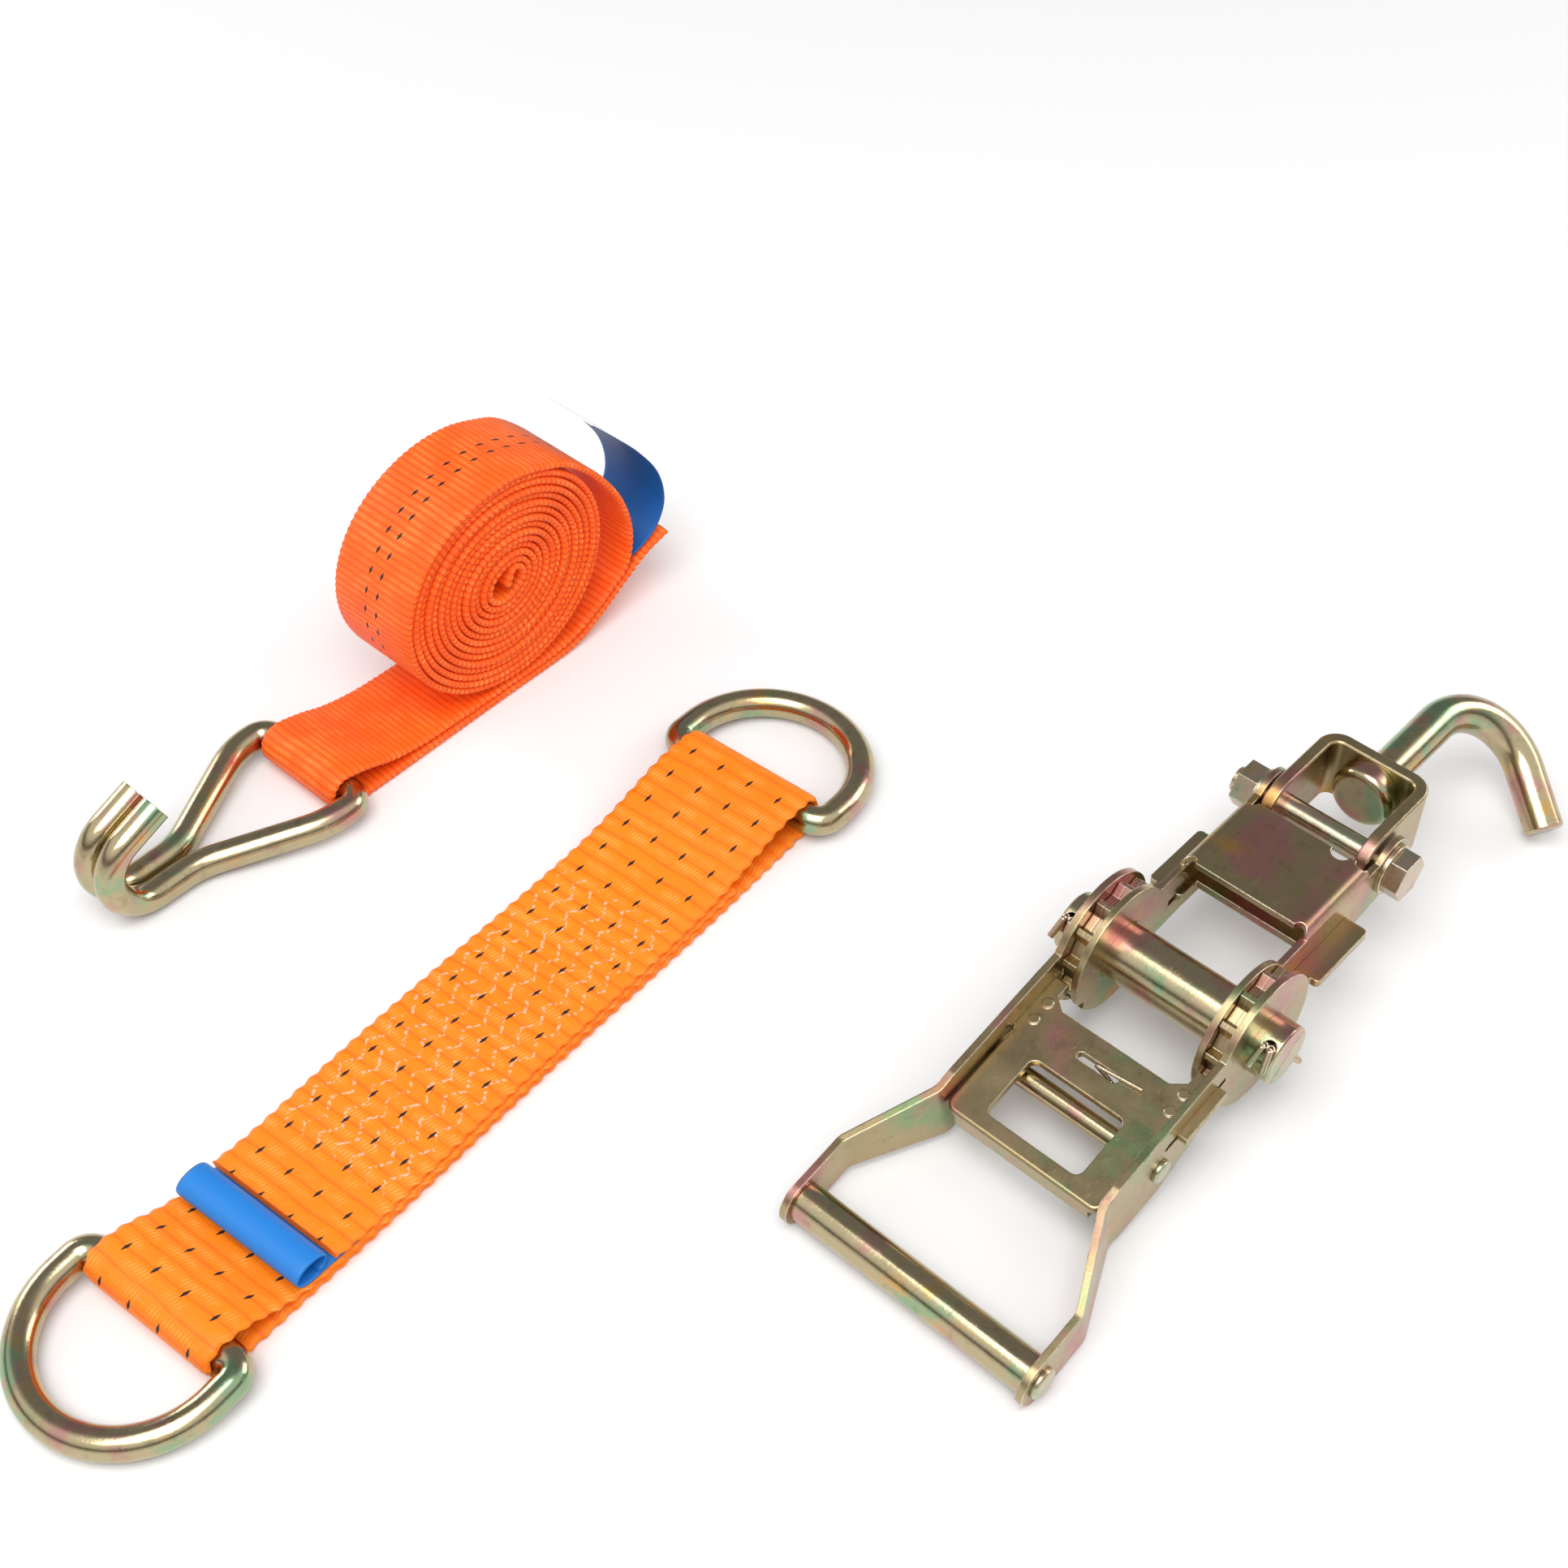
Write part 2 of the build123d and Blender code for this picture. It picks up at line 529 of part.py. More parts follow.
export_step(handle_pawl.part, "parts/handle_pawl.step")

# Torsion spring on the cross rod under the pawl's side bar; its leg rides in the pawl's slot.
spring_coil_r = ROD_SLEEVE_R + PAWL_SPRING_WIRE_R + RUN
spring_pitch = 2 * PAWL_SPRING_WIRE_R + SEAT
with BuildPart() as handle_pawl_spring:
    coil_length = PAWL_SPRING_TURNS * spring_pitch
    coil_start = -(WINDOW_HALF + pawl_half + coil_length) / 2
    coil_origin = handle_dir * ROD_X - handle_up * ROD_DROP + Vector(0, coil_start, 0)
    with BuildLine() as coil_path:
        Helix(spring_pitch, coil_length, spring_coil_r, center=coil_origin, direction=(0, 1, 0))
    with BuildSketch(Plane(coil_path.line @ 0, z_dir=coil_path.line % 0)):
        Circle(PAWL_SPRING_WIRE_R)
    sweep(is_frenet=True)
handle_pawl_spring.part.label = "handle_pawl_spring"
export_step(handle_pawl_spring.part, "parts/handle_pawl_spring.step")

with BuildPart() as handle_pawl_spring_leg:
    leg_low = -PAWL_SHEET / 2 - PAWL_SPRING_WIRE_R
    leg_top = PAWL_SHEET / 2 + PAWL_SPRING_WIRE_R
    with BuildLine() as leg_path:
        leg_points = [
            (SPRING_SLOT_X + 2, SPRING_SLOT_LENGTH * 0.62, leg_low - SEAT),
            (SPRING_SLOT_X, SPRING_SLOT_LENGTH * 0.32, leg_low - SEAT),
            (SPRING_SLOT_X, -SPRING_SLOT_LENGTH * 0.05, leg_top + SEAT),
            (SPRING_SLOT_X - 1.5, SPRING_SLOT_LENGTH * 1.0, leg_top + SEAT),
        ]
        Polyline(*[pawl_flat.from_local_coords(point) for point in leg_points])
    with BuildSketch(Plane(leg_path.line @ 0, z_dir=leg_path.line % 0)):
        Circle(PAWL_SPRING_WIRE_R)
    sweep(transition=Transition.ROUND)
handle_pawl_spring_leg.part.label = "handle_pawl_spring_leg"
export_step(handle_pawl_spring_leg.part, "parts/handle_pawl_spring_leg.step")


def tube(name, plane, centre, outer_r, bore_r, half_length):
    """A plain tube across the handle."""
    with BuildPart() as sleeve:
        with BuildSketch(plane):
            with Locations(centre):
                Circle(outer_r)
                Circle(bore_r, mode=Mode.SUBTRACT)
        extrude(amount=half_length, both=True)
    sleeve.part.label = name
    export_step(sleeve.part, f"parts/{name}.step")


def rivet(name, centre, half_grip, head_r):
    """A rivet through the handle plates with a domed head at each end."""
    with BuildPart() as pin:
        with BuildSketch(handle_side):
            with Locations(centre):
                Circle(RIVET_R)
        extrude(amount=half_grip + SEAT, both=True)
        for end in (1, -1):
            with BuildSketch(handle_side.offset(end * (half_grip + SEAT))):
                with Locations(centre):
                    Circle(head_r)
            extrude(amount=end * RIVET_HEAD)
        fillet(pin.edges().filter_by(GeomType.CIRCLE).group_by(Axis.Y)[0], RIVET_HEAD * 0.6)
        fillet(pin.edges().filter_by(GeomType.CIRCLE).group_by(Axis.Y)[-1], RIVET_HEAD * 0.6)
    pin.part.label = name
    export_step(pin.part, f"parts/{name}.step")


tube("cross_rod_sleeve", handle_side, (ROD_X, -ROD_DROP), ROD_SLEEVE_R, RIVET_R + SEAT, handle_half - SEAT)
rivet("cross_rod_rivet", (ROD_X, -ROD_DROP), handle_outer, RIVET_HEAD_R)
tube("grip_tube", handle_side, (GRIP_X, 0), GRIP_TUBE_R, GRIP_TUBE_R - GRIP_TUBE_WALL, grip_half - SEAT)
rivet("grip_rivet", (GRIP_X, 0), grip_outer, RIVET_HEAD_R + 1)


# ================================================================ clevis, bolt and J-hook
# A U of thick strip on the bolt; the hook's shank passes through its web.
clevis_inner = CLEVIS_LENGTH - CLEVIS_SHEET
with BuildPart() as clevis:
    with BuildSketch(Plane.XY.offset(BOLT_Z)):
        with Locations((BOLT_X, 0)):
            Rectangle(CLEVIS_HEIGHT, clevis_width)
        with Locations((BOLT_X + CLEVIS_LENGTH / 2, 0)):
            outer = Rectangle(CLEVIS_LENGTH, clevis_width)
    extrude(amount=CLEVIS_HEIGHT / 2, both=True)
    fillet(clevis.edges().filter_by(Axis.Z).group_by(Axis.X)[-1], CLEVIS_BEND + CLEVIS_SHEET)
    with BuildSketch(Plane.XY.offset(BOLT_Z)):
        with Locations((BOLT_X - CLEVIS_HEIGHT + clevis_inner / 2, 0)):
            pocket = Rectangle(clevis_inner + 2 * CLEVIS_HEIGHT, clevis_width - 2 * CLEVIS_SHEET)
        fillet(pocket.vertices().group_by(Axis.X)[-1], CLEVIS_BEND)
    extrude(amount=CLEVIS_HEIGHT, both=True, mode=Mode.SUBTRACT)
    with BuildSketch(bolt_side):
        Circle(CLEVIS_HEIGHT / 2)
        with Locations((CLEVIS_LENGTH / 2, 0)):
            Rectangle(CLEVIS_LENGTH, CLEVIS_HEIGHT)
    extrude(amount=clevis_width, both=True, mode=Mode.INTERSECT)
    with BuildSketch(bolt_side):
        Circle(BOLT_R + RUN)
    extrude(amount=clevis_width, both=True, mode=Mode.SUBTRACT)
    with BuildSketch(Plane.YZ.offset(BOLT_X + clevis_inner / 2)):
        with Locations((0, BOLT_Z)):
            Circle(HOOK_ROD_R + RUN)
    extrude(amount=CLEVIS_LENGTH, mode=Mode.SUBTRACT)
    rims = clevis.faces().filter_by(Axis.Z)
    chamfer(rims.edges().filter_by(GeomType.LINE), CLEVIS_CHAMFER)
clevis.part.label = "clevis"
export_step(clevis.part, "parts/clevis.step")

washer_face = frame_outer + SEAT
bolt_head_face = washer_face + WASHER + SEAT
with BuildPart() as clevis_bolt:
    with BuildSketch(bolt_side):
        Circle(BOLT_R)
    extrude(amount=bolt_head_face, both=True)
    with BuildSketch(bolt_side.offset(bolt_head_face)):
        RegularPolygon(HEX_FLATS / 2, 6, major_radius=False)
    extrude(amount=HEX_HEAD)
    with BuildSketch(bolt_side.offset(-bolt_head_face)):
        Circle(BOLT_R)
    extrude(amount=-NUT_HEIGHT - BOLT_END)
clevis_bolt.part.label = "clevis_bolt"
export_step(clevis_bolt.part, "parts/clevis_bolt.step")

with BuildPart() as clevis_nut:
    with BuildSketch(bolt_side.offset(-bolt_head_face)):
        RegularPolygon(HEX_FLATS / 2, 6, major_radius=False)
        Circle(BOLT_R + SEAT, mode=Mode.SUBTRACT)
    extrude(amount=-NUT_HEIGHT)
clevis_nut.part.label = "clevis_nut"
export_step(clevis_nut.part, "parts/clevis_nut.step")

with BuildPart() as clevis_washers:
    for end in (1, -1):
        with BuildSketch(bolt_side.offset(end * washer_face)):
            Circle(WASHER_R)
            Circle(BOLT_R + RUN, mode=Mode.SUBTRACT)
        extrude(amount=end * WASHER)
clevis_washers.part.label = "clevis_washers"
export_step(clevis_washers.part, "parts/clevis_washers.step")

# The hook: a forged head inside the clevis, the shank, the bend and a straight tip.
with BuildPart() as swivel_hook:
    bend_end = math.radians(HOOK_BEND)
    bend_points = []
    for angle in (0, bend_end / 2, bend_end):
        bend_points.append(
            (HOOK_SHANK + HOOK_BEND_R * math.sin(angle), HOOK_BEND_R * (1 - math.cos(angle)))
        )
    tip_end = (
        bend_points[2][0] + HOOK_TIP * math.cos(bend_end),
        bend_points[2][1] + HOOK_TIP * math.sin(bend_end),
    )
    with BuildLine(hook_plane) as hook_path:
        Line((-CLEVIS_SHEET - HOOK_HEAD / 2, 0), bend_points[0])
        ThreePointArc(*bend_points)
        Line(bend_points[2], tip_end)
    with BuildSketch(Plane(hook_path.line @ 0, z_dir=hook_path.line % 0)):
        Circle(HOOK_ROD_R)
    sweep()
    chamfer(swivel_hook.edges().filter_by(GeomType.CIRCLE).sort_by(Axis.Z)[0], HOOK_CHAMFER)
    with BuildSketch(Plane.YZ.offset(BOLT_X + clevis_inner - SEAT)):
        with Locations((0, BOLT_Z)):
            Circle(HOOK_HEAD_R)
    extrude(amount=-HOOK_HEAD)
    head_rim = swivel_hook.edges().filter_by(GeomType.CIRCLE).sort_by(Axis.X)[0]
    fillet(head_rim, HOOK_HEAD_ROUND)
swivel_hook.part.label = "swivel_hook"
export_step(swivel_hook.part, "parts/swivel_hook.step")


# ================================================================ long strap
# The strap lies in two layers from the claw hook's crossbar to the sewn tail; the upper layer
# then winds into the coil that stands on it.
loop_bore = CLAW_ROD_R + WEB_GAP
loop_outer = loop_bore + STRAP_SHEET
lead_height = 2 * STRAP_SHEET
coil_z = lead_height + WEB_GAP + COIL_RISE
tail_slope = TAIL_END_Z / (TAIL_END_X - TAIL_LIFT_X)
lead_end_z = (LEAD_END_X - TAIL_LIFT_X) * tail_slope
with BuildPart() as strap_lead:
    with BuildSketch(strap_side):
        with BuildLine():
            Polyline(
                (LOOP_X, 0),
                (TAIL_LIFT_X, 0),
                (TAIL_END_X, TAIL_END_Z),
                (TAIL_END_X, TAIL_END_Z + STRAP_SHEET),
                (LEAD_END_X, lead_end_z + STRAP_SHEET),
                (LEAD_END_X, lead_end_z + lead_height),
                (TAIL_LIFT_X, lead_height),
                (LOOP_X + 5 * loop_outer, lead_height),
                (LOOP_X, 2 * loop_outer),
                close=True,
            )
        make_face()
        with Locations((LOOP_X, loop_outer)):
            Circle(loop_outer)
            Circle(loop_bore, mode=Mode.SUBTRACT)
    # the loose outer turn
    with BuildSketch(strap_side):
        with BuildLine() as turn_line:
            ThreePointArc(
                (LEAD_END_X, lead_end_z + STRAP_SHEET),
                (LOOSE_TURN_X, LOOSE_TURN_Z),
                (LOOSE_TOP_X, LOOSE_TOP_Z),
            )
            offset(turn_line.line, amount=STRAP_SHEET, side=Side.LEFT)
        make_face()
    extrude(amount=STRAP_WIDTH / 2, both=True)
strap_lead.part.label = "strap_lead"
export_step(strap_lead.part, "parts/strap_lead.step")

with BuildPart() as strap_coil:
    with BuildSketch(strap_side):
        with Locations((COIL_X, coil_z)):
            Ellipse(COIL_R, COIL_RISE)
            Circle(COIL_CORE_R, mode=Mode.SUBTRACT)
    extrude(amount=STRAP_WIDTH / 2, both=True)
strap_coil.part.label = "strap_coil"
export_step(strap_coil.part, "parts/strap_coil.step")

# The sewn-in label stands up from the tail and leans back over the coil.
label_foot_z = (LABEL_FOOT_X - TAIL_LIFT_X) * tail_slope + lead_height
with BuildPart() as strap_label:
    with BuildSketch(strap_side.offset(-LABEL_SHIFT)):
        with BuildLine() as label_line:
            ThreePointArc(
                (LABEL_FOOT_X, label_foot_z),
                (LABEL_BULGE_X, LABEL_BULGE_Z),
                (LABEL_TIP_X, LABEL_TIP_Z),
            )
            offset(label_line.line, amount=LONG_LABEL, side=Side.RIGHT)
        make_face()
    extrude(amount=LONG_LABEL_WIDTH / 2, both=True)
strap_label.part.label = "strap_label"
export_step(strap_label.part, "parts/strap_label.step")

# Claw hook: one rod bent to a crossbar, two arms and two prongs side by side.
claw_low = CLAW_ROD_R + floor_z
claw_bar_z = loop_outer + floor_z
tip_rise = math.radians(CLAW_TIP_RISE)
claw_high = claw_low + CLAW_BEND_R * (1 + math.tan((math.pi / 2 - tip_rise) / 2)) + SEAT
claw_tip_z = claw_high + (CLAW_REACH - CLAW_TIP_START) * math.tan(tip_rise)
claw_neck = CLAW_ROD_R + CLAW_PRONG_GAP / 2
claw_corner_r = CLAW_ROD_R + CLAW_CORNER_INSIDE
claw_half = STRAP_WIDTH / 2 + claw_corner_r
claw_side_points = [
    (CLAW_TIP_START, claw_neck, claw_tip_z),
    (CLAW_REACH, claw_neck, claw_high),
    (CLAW_REACH, claw_neck, claw_low),
    (CLAW_JOIN, claw_neck, claw_low),
    (CLAW_SHOULDER, claw_half, claw_bar_z),
    (0, claw_half, claw_bar_z),
]
claw_radii = [CLAW_BEND_R, CLAW_BEND_R, CLAW_ARM_R, CLAW_ARM_R, claw_corner_r]
claw_points = claw_side_points + [(x, -y, z) for x, y, z in reversed(claw_side_points)]
with BuildPart() as claw_hook:
    with BuildLine() as claw_path:
        FilletPolyline(
            *[(LOOP_X - x, STRAP_Y + y, z) for x, y, z in claw_points],
            radius=claw_radii + list(reversed(claw_radii)),
        )
    with BuildSketch(Plane(claw_path.line @ 0, z_dir=claw_path.line % 0)):
        Circle(CLAW_ROD_R)
    sweep()
claw_hook.part.label = "claw_hook"
export_step(claw_hook.part, "parts/claw_hook.step")


# ================================================================ link strap
# Webbing looped round both D-rings and sewn down its middle, with a top layer over the overlap.
ring_bore = RING_ROD_R + WEB_GAP
ring_loop = ring_bore + LINK_SHEET
link_height = 2 * LINK_SHEET
link_half = LINK_LENGTH / 2
flap_start = LINK_FLAP_NEAR - link_half
flap_end = link_half - LINK_FLAP_FAR
ring_z = ring_loop
with BuildPart() as link_webbing:
    with BuildSketch(link_side):
        with BuildLine():
            Polyline(
                (-link_half, 0),
                (link_half, 0),
                (link_half, 2 * ring_loop),
                (link_half - LINK_TAPER, link_height),
                (-link_half + LINK_TAPER, link_height),
                (-link_half, 2 * ring_loop),
                close=True,
            )
        make_face()
        with Locations((link_half, ring_z), (-link_half, ring_z)):
            Circle(ring_loop)
            Circle(ring_bore, mode=Mode.SUBTRACT)
    extrude(amount=LINK_WIDTH / 2, both=True)
link_webbing.part.label = "link_webbing"
export_step(link_webbing.part, "parts/link_webbing.step")

with BuildPart() as link_flap:
    with BuildSketch(link_side):
        with Locations(((flap_start + flap_end) / 2, link_height + SEAT + LINK_SHEET / 2)):
            Rectangle(flap_end - flap_start, LINK_SHEET)
    extrude(amount=LINK_WIDTH / 2, both=True)
link_flap.part.label = "link_flap"
export_step(link_flap.part, "parts/link_flap.step")

with BuildPart() as link_label:
    with BuildSketch(link_side):
        label_x = flap_start - LINK_LABEL_HALF_WIDTH - WEB_GAP
        with Locations((label_x, link_height + SEAT + LINK_LABEL_HALF_HEIGHT)):
            Ellipse(LINK_LABEL_HALF_WIDTH, LINK_LABEL_HALF_HEIGHT)
            Ellipse(
                LINK_LABEL_HALF_WIDTH - LINK_LABEL_WALL,
                LINK_LABEL_HALF_HEIGHT - LINK_LABEL_WALL,
                mode=Mode.SUBTRACT,
            )
    extrude(amount=LINK_LABEL_LENGTH / 2, both=True)
link_label.part.label = "link_label"
export_step(link_label.part, "parts/link_label.step")

# Welded D-rings, sagging from their bars until they touch the floor.
ring_half = LINK_WIDTH / 2 + RING_SIDE_GAP + RING_ROD_R
ring_corner_r = RING_ROD_R + RING_CORNER_INSIDE
ring_sag = math.asin((ring_z - RING_ROD_R) / (RING_LEG + ring_half))
for hand, sign in (("near", -1), ("far", 1)):
    outward = link_dir * (sign * math.cos(ring_sag)) - Vector(0, 0, math.sin(ring_sag))
    ring_origin = Vector(LINK_X, LINK_Y, floor_z + ring_z) + link_dir * (sign * link_half)
    ring_normal = outward.cross(Vector(0, 0, 1).cross(link_dir))
    ring_plane = Plane(origin=ring_origin, x_dir=outward, z_dir=ring_normal)
    with BuildPart() as d_ring:
        with BuildLine(ring_plane) as ring_path:
            Line((0, 0), (0, ring_half - ring_corner_r))
            RadiusArc((0, ring_half - ring_corner_r), (ring_corner_r, ring_half), ring_corner_r)
            Line((ring_corner_r, ring_half), (RING_LEG, ring_half))
            ThreePointArc((RING_LEG, ring_half), (RING_LEG + ring_half, 0), (RING_LEG, -ring_half))
            Line((RING_LEG, -ring_half), (ring_corner_r, -ring_half))
            RadiusArc((ring_corner_r, -ring_half), (0, -ring_half + ring_corner_r), ring_corner_r)
            Line((0, -ring_half + ring_corner_r), (0, 0))
        with BuildSketch(Plane(ring_path.line @ 0, z_dir=ring_path.line % 0)):
            Circle(RING_ROD_R)
        sweep()
    d_ring.part.label = f"d_ring_{hand}"
    export_step(d_ring.part, f"parts/d_ring_{hand}.step")
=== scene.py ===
import json
import logging
import math
from collections.abc import Iterable
from dataclasses import dataclass, field
from enum import Enum

import bmesh
import bpy
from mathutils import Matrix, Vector
from mathutils.geometry import interpolate_bezier


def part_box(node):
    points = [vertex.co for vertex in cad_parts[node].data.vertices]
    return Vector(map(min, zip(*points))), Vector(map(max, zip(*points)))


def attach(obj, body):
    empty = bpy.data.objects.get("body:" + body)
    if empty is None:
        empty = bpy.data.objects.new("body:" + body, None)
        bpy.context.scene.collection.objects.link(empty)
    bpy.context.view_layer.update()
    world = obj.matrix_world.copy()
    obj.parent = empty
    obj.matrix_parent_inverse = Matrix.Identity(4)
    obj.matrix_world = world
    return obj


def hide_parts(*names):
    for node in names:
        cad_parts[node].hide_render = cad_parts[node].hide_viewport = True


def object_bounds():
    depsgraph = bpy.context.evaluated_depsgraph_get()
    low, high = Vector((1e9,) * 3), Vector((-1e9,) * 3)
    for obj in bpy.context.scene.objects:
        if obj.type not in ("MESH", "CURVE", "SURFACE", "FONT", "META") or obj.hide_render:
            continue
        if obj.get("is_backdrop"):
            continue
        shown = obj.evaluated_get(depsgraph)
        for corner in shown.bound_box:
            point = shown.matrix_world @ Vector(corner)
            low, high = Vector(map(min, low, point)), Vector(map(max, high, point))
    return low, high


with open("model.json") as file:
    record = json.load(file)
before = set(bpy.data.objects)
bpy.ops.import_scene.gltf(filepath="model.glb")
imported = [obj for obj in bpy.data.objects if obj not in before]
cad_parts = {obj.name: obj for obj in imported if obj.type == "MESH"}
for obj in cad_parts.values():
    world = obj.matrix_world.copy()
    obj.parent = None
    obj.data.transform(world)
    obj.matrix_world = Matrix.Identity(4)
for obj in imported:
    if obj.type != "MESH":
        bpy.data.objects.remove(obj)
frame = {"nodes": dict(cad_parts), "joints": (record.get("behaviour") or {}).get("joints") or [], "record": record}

LOG = logging.getLogger("tie_down")
MM = 0.001
UP = Vector((0, 0, 1))
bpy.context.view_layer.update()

Colour = tuple[float, float, float]
Triple = tuple[float, float, float]
Point2 = tuple[float, float]
Socket = bpy.types.NodeSocket


class Layout(Enum):
    """Heights and places that the pieces share, in metres."""

    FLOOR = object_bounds()[0].z
    STRAP_MIDDLE = sum(corner.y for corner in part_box("strap_coil")) / 2


class Grain(Enum):
    """How fine each noise pattern is, in features per metre."""

    STAIN = 260
    WEAR = 420
    SCRATCH = 130
    GLOSS = 90
    PITTING = 1500
    WEAVE_DRIFT = 60
    WEAVE_PATCH = 110
    FIBRE = 2600
    FADE = 16
    BROKEN_THREAD = 760
    LABEL_WEAVE = 1800
    LABEL_CLOUD = 70
    TABLE_CLOUD = 3


# ---------------------------------------------------------------- node helpers
@dataclass
class NodeBench:
    """A material's node tree with short calls that add and join nodes."""

    tree: bpy.types.NodeTree

    def add(self, kind: str, **settings: object) -> bpy.types.Node:
        """Adds one node.

        Args:
            kind: The node's type name.
            **settings: Properties to set on it.

        Returns:
            The new node.
        """
        node = self.tree.nodes.new(kind)
        for name, value in settings.items():
            setattr(node, name, value)
        return node

    def feed(self, socket: Socket, value: object) -> None:
        """Joins an output to a socket, or sets the socket's own number or colour.

        Args:
            socket: The input to feed.
            value: An output socket, a number, a vector or a colour.
        """
        if isinstance(value, Socket):
            self.tree.links.new(value, socket)
        elif isinstance(value, tuple) and len(value) == 3 and socket.type == "RGBA":
            socket.default_value = (*value, 1.0)
        else:
            socket.default_value = value

    def math(self, operation: str, *values: object, clamp: bool = False) -> Socket:
        """Adds a Math node.

        Args:
            operation: The node's operation.
            *values: Its inputs.
            clamp: Whether the result stays between 0 and 1.

        Returns:
            The result.
        """
        node = self.add("ShaderNodeMath", operation=operation, use_clamp=clamp)
        for socket, value in zip(node.inputs, values):
            self.feed(socket, value)
        return node.outputs[0]

    def mix(self, factor: object, first: object, second: object) -> Socket:
        """Mixes two colours.

        Args:
            factor: How much of the second.
            first: The first colour.
            second: The second colour.

        Returns:
            The mixed colour.
        """
        node = self.add("ShaderNodeMix", data_type="RGBA", clamp_factor=True)
        # The node keeps a set of sockets for each kind of value: 6, 7 and output 2 are the colours.
        self.feed(node.inputs[0], factor)
        self.feed(node.inputs[6], first)
        self.feed(node.inputs[7], second)
        return node.outputs[2]

    def tinge(self, colour: object, other: Colour, mask: object, amount: float) -> Socket:
        """Tinges a colour with another.

        Args:
            colour: The colour.
            other: What it is tinged with.
            mask: Where, from 0 to 1.
            amount: How much of the other colour shows where the mask is 1.

        Returns:
            The tinged colour.
        """
        return self.mix(self.math("MULTIPLY", mask, amount), colour, other)

    def dot(self, first: object, second: object) -> Socket:
        """Adds a dot product.

        Args:
            first: The first vector.
            second: The second vector.

        Returns:
            Their dot product.
        """
        node = self.add("ShaderNodeVectorMath", operation="DOT_PRODUCT")
        self.feed(node.inputs[0], first)
        self.feed(node.inputs[1], second)
        return node.outputs["Value"]

    def axes(self, where: Socket) -> list[Socket]:
        """Splits coordinates.

        Args:
            where: The coordinates.

        Returns:
            Their x, y and z.
        """
        node = self.add("ShaderNodeSeparateXYZ")
        self.feed(node.inputs[0], where)
        return list(node.outputs)

    def band(self, value: object, low: float, high: float) -> Socket:
        """A smooth step from 0 at low to 1 at high, or falling where high is the lower one.

        Args:
            value: The input.
            low: Where the result is 0.
            high: Where the result is 1.

        Returns:
            The step.
        """
        node = self.add("ShaderNodeMapRange", interpolation_type="SMOOTHSTEP")
        self.feed(node.inputs[0], value)
        flip = low > high
        node.inputs[1].default_value, node.inputs[2].default_value = (high, low) if flip else (low, high)
        node.inputs[3].default_value, node.inputs[4].default_value = (1.0, 0.0) if flip else (0.0, 1.0)
        return node.outputs[0]

    def place(self, scale: Triple = (1, 1, 1), uv: bool = False) -> Socket:
        """Coordinates on the piece, in metres times scale.

        Args:
            scale: How the pattern is stretched along each axis.
            uv: Whether to follow the piece's own UV map in place of its Object coordinates.

        Returns:
            The coordinates.
        """
        if uv:
            source = self.add("ShaderNodeUVMap", uv_map="UVMap").outputs[0]
        else:
            source = self.add("ShaderNodeTexCoord").outputs["Object"]
        mapping = self.add("ShaderNodeMapping")
        self.feed(mapping.inputs[0], source)
        mapping.inputs[3].default_value = scale
        return mapping.outputs[0]

    def noise(self, where: Socket, scale: Grain | float, detail: float = 3.0, rough: float = 0.5) -> Socket:
        """A noise pattern.

        Args:
            where: The coordinates.
            scale: Features per metre.
            detail: How many octaves.
            rough: How strong the fine octaves are.

        Returns:
            The noise from 0 to 1.
        """
        node = self.add("ShaderNodeTexNoise")
        self.feed(node.inputs["Vector"], where)
        node.inputs["Scale"].default_value = scale.value if isinstance(scale, Grain) else scale
        node.inputs["Detail"].default_value = detail
        node.inputs["Roughness"].default_value = rough
        return node.outputs[0]

    def bump(self, height: object, distance: float, strength: float, under: Socket | None = None) -> Socket:
        """Turns a height into a normal.

        Args:
            height: The height from 0 to 1.
            distance: What a height of 1 stands for, in metres.
            strength: How much of it shows.
            under: The normal that it is added to, if not the surface's own.

        Returns:
            The normal.
        """
        node = self.add("ShaderNodeBump")
        self.feed(node.inputs["Height"], height)
        node.inputs["Distance"].default_value = distance
        node.inputs["Strength"].default_value = strength
        if under is not None:
            self.feed(node.inputs["Normal"], under)
        return node.outputs[0]


def fresh_material(name: str) -> tuple[bpy.types.Material, NodeBench, bpy.types.Node]:
    """Starts a material.

    Args:
        name: The material's name.

    Returns:
        The material, its bench and its shader node.
    """
    material = bpy.data.materials.new(name)
    material.use_nodes = True
    bench = NodeBench(material.node_tree)
    bench.tree.nodes.clear()
    shader = bench.add("ShaderNodeBsdfPrincipled")
    output = bench.add("ShaderNodeOutputMaterial")
    bench.tree.links.new(shader.outputs[0], output.inputs[0])
    return material, bench, shader


